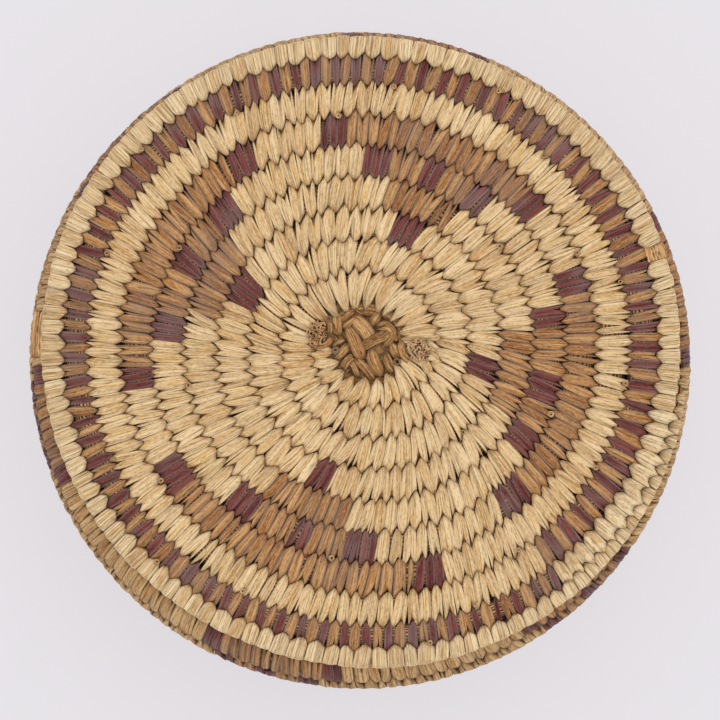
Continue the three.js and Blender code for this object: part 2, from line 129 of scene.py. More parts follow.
def quadratic(first, control, last, count=80):
    share = np.linspace(0, 1, count)[:, None]
    first, control, last = (np.array(p, float) for p in (first, control, last))
    return (1 - share) ** 2 * first + 2 * share * (1 - share) * control + share**2 * last


def line(first, last, count=40):
    share = np.linspace(0, 1, count)[:, None]
    return np.array(first, float) * (1 - share) + np.array(last, float) * share


def quarter_bend(centre, radius, count=40):
    angle = np.linspace(0, np.pi / 2, count)
    return np.stack([centre[0] + radius * np.cos(angle), centre[1] + radius * np.sin(angle)], 1)


def running_length(points):
    return np.concatenate([[0], np.cumsum(np.linalg.norm(np.diff(points, axis=0), axis=1))])


def unit(vectors):
    return vectors / np.maximum(np.linalg.norm(vectors, axis=1)[:, None], 1e-9)


def signed_power(values, power):
    """Makes a circle's sine or cosine that of a rounded square, for powers under 1."""
    return np.sign(values) * np.abs(values) ** power


class Track:
    """The line of a coil's centre: round the axis, and outward along a meridian."""

    def __init__(self, pieces, start_angle, distance_at, ovalness, shift=(0, 0)):
        points = np.concatenate([pieces[0]] + [piece[1:] for piece in pieces[1:]])
        lengths = running_length(points)
        self.length = lengths[-1]
        self.lengths = np.linspace(0, self.length, MERIDIAN_SAMPLES)
        self.points = np.stack([np.interp(self.lengths, lengths, points[:, i]) for i in (0, 1)], 1)
        tangents = np.gradient(self.points, self.lengths, axis=0)
        padded = np.pad(tangents, ((EASING, EASING), (0, 0)), mode="edge")
        kernel = np.ones(2 * EASING + 1)
        self.tangents = unit(np.stack([np.convolve(padded[:, i], kernel, "valid") for i in (0, 1)], 1))
        self.start_angle = start_angle
        self.distance_at = distance_at
        self.ovalness = ovalness
        self.shift = shift

    def radius(self, turn):
        return np.interp(self.distance_at(turn), self.lengths, self.points[:, 0])

    def circumference(self, turn):
        return 2 * np.pi * self.radius(turn)

    def place(self, turn, across, up):
        """A point beside the track: across it along the meridian, round its bends, and up from it."""
        distance = np.clip(self.distance_at(turn), 0, self.length) + across
        within = np.clip(distance, 0, self.length)
        beyond = distance - within
        x, z, along_x, along_z = (
            np.interp(within, self.lengths, values) for values in (*self.points.T, *self.tangents.T))
        radius = x + along_x * beyond - along_z * up
        height = z + along_z * beyond + along_x * up
        axis = np.radians(OVAL_ANGLE)
        angle = np.radians(self.start_angle) + turn * 2 * np.pi - axis
        long = radius * (1 + self.ovalness) * np.cos(angle)
        short = radius * (1 - self.ovalness) * np.sin(angle)
        return np.stack([
            long * np.cos(axis) - short * np.sin(axis) + self.shift[0],
            long * np.sin(axis) + short * np.cos(axis) + self.shift[1],
            np.maximum(height, GROUND_PLAY),
        ], -1)


class Coil:
    """A track with the coil's width and thickness, and the turns where it starts and ends."""

    def __init__(self, track, size_at, first_turn, last_turn):
        self.track = track
        self.size_at = size_at
        self.first_turn = first_turn
        self.last_turn = last_turn

    def width(self, turn):
        return self.size_at(turn)[0]

    def thickness(self, turn):
        return self.size_at(turn)[1]

    def pitch(self, turn):
        return self.track.distance_at(turn + 1) - self.track.distance_at(turn)


# Lid's coil
LID_SEAM_TURN = turns_of(SEAM_ANGLE - LID_START_ANGLE)
RIM_TURN = LID_SEAM_TURN + RIM_ROW
LID_END_TURN = LID_SEAM_TURN + LID_ROWS + turns_of(TAIL_SWEEP)
TAIL_TURN = LID_END_TURN - turns_of(TAPER_SWEEP)


def lid_inner_edge(turn):
    full = np.minimum(turn, RIM_TURN)
    wound = np.maximum(LID_PITCH * full - KNOT_CROWDING, 0)
    return KNOT_RADIUS + wound + RIM_PITCH * (turn - full)


def lid_size(turn):
    full = lid_inner_edge(np.minimum(turn, LID_END_TURN) + 1) - lid_inner_edge(turn) - TURN_GAP
    taper = np.clip((turn - TAIL_TURN) / turns_of(TAPER_SWEEP), 0, 1)
    width = full * (1 - taper) + TAIL_END_WIDTH * taper
    return width, COIL_THICKNESS * (1 - taper * (1 - TAIL_THINNING))


def lid_distance(turn):
    return lid_inner_edge(turn) + TURN_GAP / 2 + lid_size(turn)[0] / 2


BASE_LEVEL = COIL_THICKNESS / 2 - FLOOR_CUT
MOUTH_LEVEL = BASKET_HEIGHT - COIL_THICKNESS / 2
LID_RADIUS = (lid_inner_edge(RIM_TURN + 1) + lid_inner_edge(RIM_TURN + 2)) / 2
LID_EDGE_LEVEL = MOUTH_LEVEL + COIL_THICKNESS + CLEARANCE
LID_TOP_LEVEL = LID_EDGE_LEVEL + LID_DOME
lid_path = quadratic((0, LID_TOP_LEVEL), (LID_RADIUS / 2, LID_TOP_LEVEL), (LID_RADIUS, LID_EDGE_LEVEL))
lid_track = Track([lid_path], LID_START_ANGLE, lid_distance, LID_OVALNESS, LID_SHIFT)
lid_coil = Coil(lid_track, lid_size, 0, LID_END_TURN)


def lid_turn(row, angle):
    return LID_SEAM_TURN + row + turns_of((angle - SEAM_ANGLE + TURN) % TURN)


# Basket's coil
SHOULDER_RADIUS = LID_RADIUS + SHOULDER_OVERHANG - COIL_THICKNESS / 2
BEND_RADIUS = SHOULDER_RADIUS - SHOULDER_BEND
SHOULDER_LEVEL = MOUTH_LEVEL - SHOULDER_BEND
FOOT_EDGE = SHOULDER_RADIUS - WALL_FLARE
WALL_FOOT = (FOOT_EDGE, BASE_LEVEL + FOOT_BEND)
BELLY = (SHOULDER_RADIUS, SHOULDER_LEVEL * WALL_BELLY)
basket_path = [
    line((0, BASE_LEVEL), (FOOT_RADIUS, BASE_LEVEL), 160),
    quadratic((FOOT_RADIUS, BASE_LEVEL), (FOOT_EDGE - FOOT_EASE, BASE_LEVEL), WALL_FOOT),
    quadratic(WALL_FOOT, BELLY, (SHOULDER_RADIUS, SHOULDER_LEVEL)),
    quarter_bend((BEND_RADIUS, SHOULDER_LEVEL), SHOULDER_BEND),
    line((BEND_RADIUS, MOUTH_LEVEL), (BEND_RADIUS - RIM_FLAT, MOUTH_LEVEL), 20),
]
FIRST_DISTANCE = KNOT_RADIUS + PITCH / 2


def basket_distance(turn):
    return FIRST_DISTANCE + PITCH * np.maximum(turn, 0) + PITCH / 2 * np.minimum(turn, 0)


basket_track = Track(basket_path, 0, basket_distance, BASKET_OVALNESS)
BASKET_TURNS = (basket_track.length - FIRST_DISTANCE) / PITCH
basket_track.start_angle = BASKET_END_ANGLE - TURN * BASKET_TURNS


def basket_size(turn):
    sweep = turns_of(MOUTH_TAPER_SWEEP)
    taper = np.clip((turn - BASKET_TURNS + sweep) / sweep, 0, 1)
    full = PITCH * (1 + np.minimum(turn, 0)) - TURN_GAP
    width = full * (1 - taper) + MOUTH_END_WIDTH * taper
    return width, COIL_THICKNESS * (1 - taper * (1 - MOUTH_THINNING))


basket_coil = Coil(basket_track, basket_size, BASE_FIRST_TURN, BASKET_TURNS)


def band_turn(angle):
    return BASKET_TURNS - 2 + turns_of(angle - BASKET_END_ANGLE)


# Kinds of stitches: width of the strip, its gap, how far its inner end reaches over the row before,
# how deep the notches between the ends are, how blunt an end is, how far its outer end opens over
# the next row's stitches, its crown and thickness, and how deep the bundle lies beside it
MEASURES = ("width", "gap", "reach", "notch", "blunt", "opening", "crown", "thickness", "sink")
KINDS = {
    "straw": (4.7, 0.03, 1.2, 2.0, 1.75, 0.85, 0.20, 0.8, 1.5),
    "aged": (4.3, 0.14, 1.2, 1.7, 1.8, 0.60, 0.20, 0.8, 1.5),
    "rim": (5.2, 0.10, 1.3, 1.6, 2.3, 0.0, 0.12, 0.8, 1.5),
    "tan": (3.5, 0.05, 1.1, 1.8, 1.6, 0.60, 0.14, 0.6, 1.2),
    "red": (2.85, 0.17, 1.1, 1.4, 1.6, 0.30, -0.05, 0.45, 1.0),
    "border_tan": (3.85, 0.28, 1.2, 2.0, 1.45, 0.25, 0.14, 0.45, 0.95),
    "border_red": (3.15, 0.28, 1.4, 1.8, 1.45, 0.15, -0.05, 0.45, 0.95),
}
KIND_NAMES = list(KINDS)
BY_KIND = dict(zip(MEASURES, np.array(list(KINDS.values())).T))
STRAW_COARSENESS = 1.05  # how wide the natural stitches are at the lid's knot, in their kind's widths
STRAW_REFINING = 0.022  # by how much narrower they get with each turn
LOOSE_GAP = 0.7  # a gap that a few stitches have on top of their own
LOOSE_SHARE = 0.03
BARE_SINK = 0.45  # how deep the bundle lies where no stitch covers it
EDGE_GAP = 0.04  # between a stitch's end and the next row's stitches
TIP_GAP = 0.14  # on top of that, at the tip of the next row's stitch
SPLITTING = 0.7  # how near to a stitch's middle the next row's has to come to split its end
MOST_OPENING = 0.4  # how far a split end's finger can be drawn aside, as a share of its width
BESIDE_CREASE = 0.1

# How far each row's stitches lean from the radius
ROW_LEANS = [-12, -14, -12, -10, -7, -7, -6, -3, -1, -2]
LEAN_SWING = 6.0
LEAN_PEAK = 120.0
WALL_LEAN = -9.0
LEAN_SPREAD = 3.6


class Stitches:
    """All stitches of a coil in their order along it, from runs: turns, kinds and a piece's name."""

    def __init__(self, coil, runs, lean_at):
        self.coil = coil
        self.bare = [(start, end) for start, end, names, _ in runs if not names]
        turns, halves, kinds, pieces = [], [], [], []
        for start, end, names, piece in runs:
            if not names:
                continue
            own = [KIND_NAMES.index(name) for name in names]
            length = (end - start) * coil.track.circumference((start + end) / 2)
            mean = np.mean(BY_KIND["width"][own])
            if names == ["straw"]:
                mean *= STRAW_COARSENESS - STRAW_REFINING * start
            count = max(1, round(length / mean / len(names))) * len(names)
            widths = np.resize(BY_KIND["width"][own], count) * random.uniform(0.80, 1.20, count)
            shares = np.concatenate([[0], np.cumsum(widths)]) / widths.sum()
            turns.extend(start + (end - start) * (shares[1:] + shares[:-1]) / 2)
            halves.extend(length * np.diff(shares) / 2)
            kinds.extend(np.resize(own, count))
            pieces.extend([piece] * count)
        order = np.argsort(turns)
        count = len(order)
        self.turn, self.kind, self.piece, self.half = (
            np.array(values)[order] for values in (turns, kinds, pieces, halves))

        def varied(measure, least, most):
            return BY_KIND[measure][self.kind] * random.uniform(least, most, count)

        self.blunt = varied("blunt", 0.85, 1.2)
        self.reach = varied("reach", 0.6, 1.4)
        self.notch = varied("notch", 0.8, 1.2)
        self.opening = varied("opening", 0.6, 1.4)
        self.slit = random.uniform(2.0, 4.8, count)
        self.crown = varied("crown", 0.7, 1.3)
        self.gap = varied("gap", 0.3, 1.9)
        self.gap += LOOSE_GAP * (random.random(count) < LOOSE_SHARE)
        self.thickness = BY_KIND["thickness"][self.kind]
        self.skew = random.uniform(-0.35, 0.35, count)
        self.roll = random.normal(0, 0.12, count)
        self.seed = random.random(count)
        self.slope = np.tan(np.radians(lean_at(self.turn) + random.normal(0, LEAN_SPREAD, count)))
        self.around = coil.track.circumference(self.turn)
        self.half_row = coil.width(self.turn) / 2
        self.foot = self.turn - self.slope * self.half_row / self.around
        self.between = (self.foot[1:] + self.foot[:-1]) / 2
        self.at_end = self.slope * self.half_row
        self.crease, self.split = self.creases()

    def inner_edge(self, index, x):
        """Where a stitch's inner end lies across the row, for x from -1 to 1 over its width."""
        rounding = 1 - np.abs(np.clip(x - self.skew[index] * (1 - x * x), -1, 1)) ** self.blunt[index]
        rise = self.notch[index]
        return rise - self.half_row[index] - (self.reach[index] + rise) * rounding

    def next_row(self, index, along):
        """The next row's stitch at a place along a stitch's outer end, and the place on it."""
        next_turn = self.turn[index] + along / self.around[index] + 1
        other = np.searchsorted(self.between, next_turn)
        offset = (next_turn - self.foot[other]) * self.around[other] / self.half[other]
        return other, np.clip(offset, -1, 1)

    def outer_edge(self, index, other, offset):
        """Where a stitch ends at the next row, whose stitches' inner ends leave it its tips."""
        gap = EDGE_GAP + TIP_GAP * (1 - np.abs(offset))
        return self.inner_edge(other, offset) + self.coil.pitch(self.turn[index]) - gap

    def creases(self):
        """Where each stitch is creased, and whether the next row's stitch there splits its end."""
        other, offset = self.next_row(np.arange(len(self.turn)), self.at_end)
        crease = -offset * self.half[other] / self.half
        split = np.abs(crease) < SPLITTING
        return np.where(split, crease, random.uniform(-0.5, 0.5, len(crease))), split

    def pull(self, index, x):
        """How far a split end's fingers are drawn away from the crease, and how much at x = crease."""
        side = np.where(x < self.crease[index], -1, 1)
        room = 1 - side * self.crease[index]
        most = np.minimum(self.opening[index], MOST_OPENING * self.half[index] * room) * self.split[index]
        return side * most * (1 - np.abs(x - self.crease[index]) / room), side * most / room

    def tip(self, index, side):
        """Where a finger's tip lies over its strip: in the next row's notch on that side."""
        other, _ = self.next_row(index, self.crease[index] * self.half[index] + self.at_end[index])
        notch = self.between[np.clip(other - (side < 0), 0, len(self.between) - 1)]
        along = (notch - 1 - self.turn[index]) * self.around[index] - self.at_end[index]
        _, drawn = self.pull(index, self.crease[index] + BESIDE_CREASE * side)
        return (along - drawn) / (self.half[index] - np.abs(drawn))

    def sink_at(self, turn):
        """How deep the bundle lies under the coil's face."""
        nearest = np.clip(np.searchsorted(self.turn, turn), 0, len(self.turn) - 1)
        sink = BY_KIND["sink"][self.kind[nearest]]
        for start, end in self.bare:
            sink = np.where((turn > start) & (turn < end), BARE_SINK, sink)
        return sink


# Shape of a strip, over its width from -1 to 1 and along it from 0 to 1
INNER_LIP = (0.24, 0.5)  # how far a strip's inner end bends down, and over what length
OUTER_LIP = (0.14, 0.4)
EDGE_DROP = 0.12
AT_EDGE = 0.97  # from where over its width a strip's edge is lowered
# Shares of a strip's length at which its rings of vertices lie
RING_SHARES = np.array([0, 0.06, 0.15, 0.30, 0.48, 0.64, 0.76, 0.86, 0.94, 1])
# Columns over each half of a strip, and those of them that its back has too
FINGER_SHARES = {6: [0, 0.05, 0.28, 0.72, 0.95, 1], 3: [0, 0.5, 1], 2: [0, 1]}
BACK_COLUMNS = {6: [0, 2, 3, 5], 3: [0, 1, 2], 2: [0, 1]}
COLUMN_SPREAD = 0.94
CREASE = 0.012  # half the width of a closed crease, in half widths of its strip
CREASE_DEPTH = 0.12
CREASE_SHADE = 0.35
SLIT_DEPTH = 1.1
TIP_ROOM = 0.12  # how near to a finger's side its tip can be, as a share of the finger
FIBRE_RIDGE = 0.06
STRIP_INSET = 0.3  # how far a strip's edges lie under the face of its coil
OPENING_POWER = 1.3  # over 1, so that a split opens slowly at first
ROW_FALL = 0.30  # how much of its height a strip loses over the row before
FALL_ROOM = 1.3  # how far past its own row's edge it does so
FALL_POWER = 2.4
ROUND_ROOM = 3.8  # how far past its row's edge a strip would come down to the coil's centre
ROUND_POWERS = (2.5, 0.6)
ROUND_MOST = 0.995
WRAP_FINGER = 6
WRAP_RINGS = 19
WRAP_SQUARING = 0.55
WRAP_LENGTH = 4  # half widths of the row
WRAP_BACK = 2.4  # unrolled, a place on the lower side is this less its place across, in half widths
EDGE_CROWN = 0.4  # of the strips where they turn over the rim's edge
EDGE_INSET = 0.45  # how far the strips' edges lie inside the coil there


def row_height(stitches, index, across, top):
    """Height of a stitch's middle line over its coil's centre."""
    half = stitches.half_row[index]
    inner = top - ROW_FALL * top * (np.clip(-across, 0, None) / (half + FALL_ROOM)) ** FALL_POWER
    rounding = np.clip(np.abs(across) / (half + ROUND_ROOM), 0, ROUND_MOST) ** ROUND_POWERS[0]
    outer = top * (1 - rounding) ** ROUND_POWERS[1]
    lies_on_row = stitches.turn[index] > stitches.coil.first_turn + 1
    return np.where((across < 0) & lies_on_row, inner, outer)


def columns_across(count):
    """Places over a strip's width, closer together near its edges."""
    end = np.pi / 2
    return np.sin(np.linspace(-end, end, count) * COLUMN_SPREAD) / np.sin(end * COLUMN_SPREAD)


def finger_shares(finger, tip):
    """Shares over a finger for its columns, one of them at its tip."""
    shares = np.array(FINGER_SHARES[finger]) + np.zeros_like(tip)
    if finger == 6:
        second = np.where(tip < 0.5, (tip + shares[..., [4]]) / 2, (tip + shares[..., [1]]) / 2)
        pair = np.sort(np.concatenate([tip, second], -1), -1)
        shares[..., 2:4] = np.where(np.abs(tip - 0.5) < 0.5 - TIP_ROOM, pair, shares[..., 2:4])
    return shares


def strip_columns(stitches, index, finger):
    """Columns over strips that are creased along: one side, the crease's two, the other side."""
    crease = stitches.crease[index]
    sides = []
    for side, first, last in ((-1, -1, crease - CREASE), (1, crease + CREASE, 1)):
        tip = (stitches.tip(index, side) - first) / (last - first)
        sides.append(first + finger_shares(finger, tip) * (last - first))
    x = np.concatenate([sides[0], crease - CREASE / 2, crease + CREASE / 2, sides[1]], -1)
    floor = np.zeros(x.shape[-1])
    floor[[finger, finger + 1]] = 1
    return x, floor


def strip_relief(stitches, index, x, share, length):
    """Crown, fibre ridges, dropped edges and lips of a strip, all measured off its middle line."""
    ridges = random.normal(0, FIBRE_RIDGE, (len(index), 1, x.shape[-1]))
    relief = stitches.crown[index] * (1 - x * x) - STRIP_INSET + ridges + stitches.roll[index] * x
    relief = relief - EDGE_DROP * (np.abs(x) > AT_EDGE)
    for distance, (down, over) in ((share * length, INNER_LIP), ((1 - share) * length, OUTER_LIP)):
        relief = relief - down * (1 - np.clip(distance / over, 0, 1)) ** 2
    return relief


def sew(stitches, chosen, side, finger, shares):
    """Closed strips over one face of the coil: side 1 is its upper face, -1 the lower one."""
    index = np.asarray(chosen)[:, None, None]
    x, floor = strip_columns(stitches, index, finger)
    share = shares[None, :, None]
    start = stitches.inner_edge(index, x)
    half = stitches.half[index]
    pull, _ = stitches.pull(index, x)
    other, offset = stitches.next_row(index, x * half + pull + stitches.at_end[index])
    length = stitches.outer_edge(index, other, offset) - start
    across = start + length * share
    opened = np.clip(1 - (1 - share) * length / stitches.slit[index], 0, 1) ** OPENING_POWER
    along = x * (half - stitches.gap[index] / 2) + stitches.slope[index] * across + pull * opened
    drop = opened * stitches.split[index]
    up = row_height(stitches, index, across, stitches.coil.thickness(stitches.turn[index]) / 2)
    up = up + strip_relief(stitches, index, x, share, length)
    up = up - floor * (CREASE_DEPTH + SLIT_DEPTH * drop)
    # painted shade on the floors of creases, darkening fully in split ends' slits
    dark = floor * (CREASE_SHADE + (1 - CREASE_SHADE) * drop)
    return closed_strips(stitches, index, x, along, across, up, share, length, side, dark=dark, drop=drop)


def wrap(stitches, chosen):
    """Closed strips over the outermost row: from the upper face round its edge to the lower one."""
    index = np.asarray(chosen)[:, None, None]
    x, floor = strip_columns(stitches, index, WRAP_FINGER)
    share = np.linspace(0, 1, WRAP_RINGS)[None, :, None]
    start = stitches.inner_edge(index, x)
    half = stitches.half_row[index]
    top = stitches.coil.thickness(stitches.turn[index]) / 2
    turned = np.arccos(np.clip(start / half, -1, 1) * 0.999) * (1 - 2 * share)
    cosine, sine = np.cos(turned), np.sin(turned)
    across = half * signed_power(cosine, WRAP_SQUARING)
    across = across - np.clip(-start - half, 0, None) * np.clip(-cosine, 0, 1) ** 2
    inner = row_height(stitches, index, np.minimum(across, 0), top)
    up = np.where(across < 0, inner, top * np.abs(sine) ** WRAP_SQUARING)
    outward = np.clip(across / half, 0, 1) ** 3
    length = WRAP_LENGTH * half
    relief = strip_relief(stitches, index, x, share, length) * (1 - outward)
    relief = relief + (EDGE_CROWN * (1 - x * x) - EDGE_INSET + stitches.roll[index]) * outward
    relief = relief - floor * CREASE_DEPTH * (1 - outward)
    unrolled = np.where(turned > 0, across, WRAP_BACK * half - across)
    along = x * (stitches.half[index] - stitches.gap[index] / 2) + stitches.slope[index] * unrolled
    across = across + relief * outward
    face = np.sign(sine)
    up = face * (up + relief * (1 - outward))
    dark = floor * CREASE_SHADE * (1 - outward)
    return closed_strips(
        stitches, index, x, along, across, up, share, length, 1, outward, face, dark)


def closed_strips(stitches, index, x, along, across, up, share, length, side, outward=0.0, face=1.0,
                  dark=0.0, drop=0.0):
    """A part of strips that each have a top, two edges and a back."""
    finger = x.shape[-1] // 2 - 1
    left = BACK_COLUMNS[finger]
    back_columns = left + [finger + 2 + column for column in left]
    back = back_columns[::-1]
    depth = stitches.thickness[index]
    shape = up.shape
    outward = np.broadcast_to(outward, shape)[..., back]
    face = np.broadcast_to(face, shape)[..., back]
    # the back's columns beside an open slit sink with it, and get painted shade
    hollow = np.isin(back, [finger - 1, finger + 2]) * np.broadcast_to(drop, shape)[..., back]

    def with_back(values, moved=0.0):
        values = np.broadcast_to(values, shape)
        return np.concatenate([values, values[..., back] + moved], -1)

    turn = with_back(stitches.turn[index] + along / stitches.around[index])
    across = with_back(across, -depth * outward)
    up = with_back(up, -depth * (1 - outward) * face - SLIT_DEPTH * hollow) * side
    vertices = stitches.coil.track.place(turn, across, up)
    count, rings, columns = vertices.shape[:3]
    starts = (np.arange(count) * rings * columns)[:, None, None]
    faces = [
        (group[None] + starts).reshape(-1, group.shape[1])
        for group in strip_faces(rings, columns, side, back_columns)
    ]
    x = with_back(x)
    run = share * length
    strip = (x * stitches.half[index], with_back(run), stitches.seed[index])
    return make_part(vertices, faces, strip, (x, with_back(length - run), with_back(dark, hollow)))


def strip_faces(rings, columns, side, back_columns=None):
    """Faces round a strip and at its two ends, which are in steps if the back's columns are given."""
    ring = np.arange(rings - 1)[:, None] * columns
    column = np.arange(columns)[None, :]
    following = (column + 1) % columns
    quads = np.stack([
        ring + column, ring + following, ring + columns + following, ring + columns + column,
    ], -1).reshape(-1, 4)
    outlines = [np.arange(columns)]
    if back_columns is not None:
        steps = zip(back_columns, back_columns[1:])
        outlines = [
            np.array([*range(first, last + 1), columns - 2 - step, columns - 1 - step])
            for step, (first, last) in enumerate(steps)
        ]
    ends = [np.stack([outline[::-1], (rings - 1) * columns + outline]) for outline in outlines]
    groups = [quads, *ends]
    return [group[:, ::-1] for group in groups] if side < 0 else groups


def make_part(vertices, faces, strip, mark):
    """Vertices and faces, with the two vectors at each vertex that the materials read: strip is the
    place over its width, along it, and the strip's own number; mark is the side from -1 to 1, the
    length left and the shade."""
    part = {"vertices": vertices.reshape(-1, 3), "faces": faces}
    for key, values in (("strip", strip), ("mark", mark)):
        spread = [np.broadcast_to(value, vertices.shape[:-1]) for value in values]
        part[key] = np.stack(spread, -1).reshape(-1, 3)
    return part


def new_mesh(name, parts, look, body, replaced=()):
    """One object from parts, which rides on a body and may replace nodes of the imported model."""
    corners, totals = [], []
    base = 0
    for part in parts:
        for faces in part["faces"]:
            corners.append((faces + base).reshape(-1))
            totals.append(np.full(len(faces), faces.shape[1]))
        base += len(part["vertices"])
    corners, totals = np.concatenate(corners), np.concatenate(totals)
    vertices, strip, mark = (
        np.concatenate([part[key] for part in parts]) for key in ("vertices", "strip", "mark"))
    mesh = bpy.data.meshes.new(name)
    mesh.vertices.add(len(vertices))
    mesh.vertices.foreach_set("co", (vertices * METRES).astype(np.float32).ravel())
    mesh.loops.add(len(corners))
    mesh.loops.foreach_set("vertex_index", corners.astype(np.int32))
    mesh.polygons.add(len(totals))
    starts = np.concatenate([[0], np.cumsum(totals)[:-1]])
    mesh.polygons.foreach_set("loop_start", starts.astype(np.int32))
    mesh.update(calc_edges=True)
    for key, values in (("strip", strip), ("mark", mark)):
        attribute = mesh.attributes.new(key, "FLOAT_VECTOR", "POINT")
        attribute.data.foreach_set("vector", values.astype(np.float32).ravel())
    mesh.validate()
    mesh.shade_smooth()
    material, slot = look
    mesh.materials.append(material)
    piece = bpy.data.objects.new(name, mesh)
    bpy.context.scene.collection.objects.link(piece)
    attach(piece, body)
    if replaced:
        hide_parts(*replaced)


# The bundle of splints inside a coil, as a tube with a ridge for each splint on its surface
SPLINT_RIDGE = 0.2
SPLINT_UNEVENNESS = 0.05
SPLINT_POINTS = 3
SPLINT_NUMBER = 0.137  # from one splint's own number to the next one's, which run from 0 to 1
BUNDLE_SQUARING = (0.8, 0.7)
BUNDLE_INSET = 0.25
BUNDLE_GAP = 0.06  # half the room between the bundles of two rows
BUNDLE_OVERLAP = 0.3  # how far it comes out of its coil toward the row before
LEAST_STATIONS = 24  # in a turn
SIDE_SHADE_FROM = 0.5  # a cosine round the bundle, from which its splints get painted shade outward
SIDE_SHADE_OVER = 0.35
MOST_SIDE_SHADE = 0.9


def bundle(stitches, first, last, splints, step):
    coil = stitches.coil
    stations = [first]
    while stations[-1] < last:
        onward = step / coil.track.circumference(stations[-1])
        stations.append(min(last, stations[-1] + min(onward, 1 / LEAST_STATIONS)))
    turn = np.array(stations)[:, None]
    points = SPLINT_POINTS * splints
    angle = np.linspace(0, 2 * np.pi, points, endpoint=False)[None, :]
    cosine, sine = np.cos(angle), np.sin(angle)
    groove = np.arange(points) % SPLINT_POINTS == 0
    ridge = np.where(groove, -SPLINT_RIDGE, SPLINT_RIDGE)[None, :]
    ridge = ridge + random.normal(0, SPLINT_UNEVENNESS, (len(stations), points))
    sink = stitches.sink_at(turn)
    half = coil.pitch(turn) / 2 - BUNDLE_GAP
    half = np.where(turn + 1 > coil.last_turn, coil.width(turn) / 2 - sink, half)
    inner_half = coil.pitch(turn - 1) / 2 - BUNDLE_GAP
    half = np.where(cosine < 0, np.minimum(inner_half, coil.width(turn) / 2 + BUNDLE_OVERLAP), half)
    across = (half + ridge - BUNDLE_INSET) * signed_power(cosine, BUNDLE_SQUARING[0])
    up = (coil.thickness(turn) / 2 - sink + ridge) * signed_power(sine, BUNDLE_SQUARING[1])
    vertices = coil.track.place(turn, across, up)
    run = (turn - first) * coil.track.circumference(turn)
    number = np.floor(np.arange(points) / SPLINT_POINTS)
    # painted shade on the bundle's sides, which lie in the crevices under the stitches; none where it is
    # bare
    side_shade = np.clip((np.abs(cosine) - SIDE_SHADE_FROM) / SIDE_SHADE_OVER, 0, MOST_SIDE_SHADE) * (sink > BARE_SINK)
    faces = strip_faces(len(stations), points, -1)
    return make_part(
        vertices, faces, (number, run, number * SPLINT_NUMBER % 1), (0, run, np.maximum(groove, side_shade)))


# Materials
def linear(colour):
    """A colour that is written as it looks on a screen, from 0 to 255."""
    shares = np.array(colour) / 255
    values = np.where(shares <= 0.04045, shares / 12.92, ((shares + 0.055) / 1.055) ** 2.4)
    return (*values, 1.0)


class Value:
    """What a node gives out, with signs for the sums that are made of it."""

    def __init__(self, nodes, socket):
        self.nodes = nodes
        self.socket = socket

    def __add__(self, other):
        return self.nodes.math("ADD", self, other)

    def __sub__(self, other):
        return self.nodes.math("SUBTRACT", self, other)

    def __mul__(self, other):
        return self.nodes.math("MULTIPLY", self, other)

    def __abs__(self):
        return self.nodes.math("ABSOLUTE", self, 0.0)


class Nodes:
    """Short names for the nodes of one material."""

    def __init__(self, name):
        self.material = bpy.data.materials.new(name)
        self.material.use_nodes = True
        self.tree = self.material.node_tree
        self.shader = self.tree.nodes["Principled BSDF"]

    def put(self, node, inputs):
        for key, value in inputs.items():
            if isinstance(value, Value):
                self.tree.links.new(value.socket, node.inputs[key])
            else:
                node.inputs[key].default_value = value

    def make(self, kind, inputs, output=0, **settings):
        node = self.tree.nodes.new("ShaderNode" + kind)
        for key, value in settings.items():
            setattr(node, key, value)
        self.put(node, inputs)
        return Value(self, node.outputs[output])

    def math(self, operation, first, second):
        return self.make("Math", {0: first, 1: second}, operation=operation)

    def attribute(self, name):
        vector = self.make("Attribute", {}, "Vector", attribute_name=name)
        split = self.make("SeparateXYZ", {0: vector}).socket.node
        return [Value(self, output) for output in split.outputs]

    def vector(self, x, y, z):
        return self.make("CombineXYZ", {0: x, 1: y, 2: z})

    def noise(self, vector, scale, detail, roughness):
        inputs = {"Vector": vector, "Scale": scale, "Detail": detail, "Roughness": roughness}
        return self.make("TexNoise", inputs, "Fac")

    def chance(self, value):
        return self.make("TexWhiteNoise", {"W": value}, "Value", noise_dimensions="1D")

    def step(self, value, low, high):
        """0 up to low, 1 from high, and smooth between them."""
        inputs = {"Value": value, "From Min": low, "From Max": high}
        return self.make("MapRange", inputs, interpolation_type="SMOOTHSTEP")

    def mix(self, factor, first, second):
        return self.make("Mix", {"Factor": factor, "A": first, "B": second}, "Result", data_type="RGBA")


DEEP_SHADE = linear((54, 33, 20))
SPECULAR = 0.3
STRIP_APART = 173.0  # sets the strips' patterns apart, with each strip's number from 0 to 1


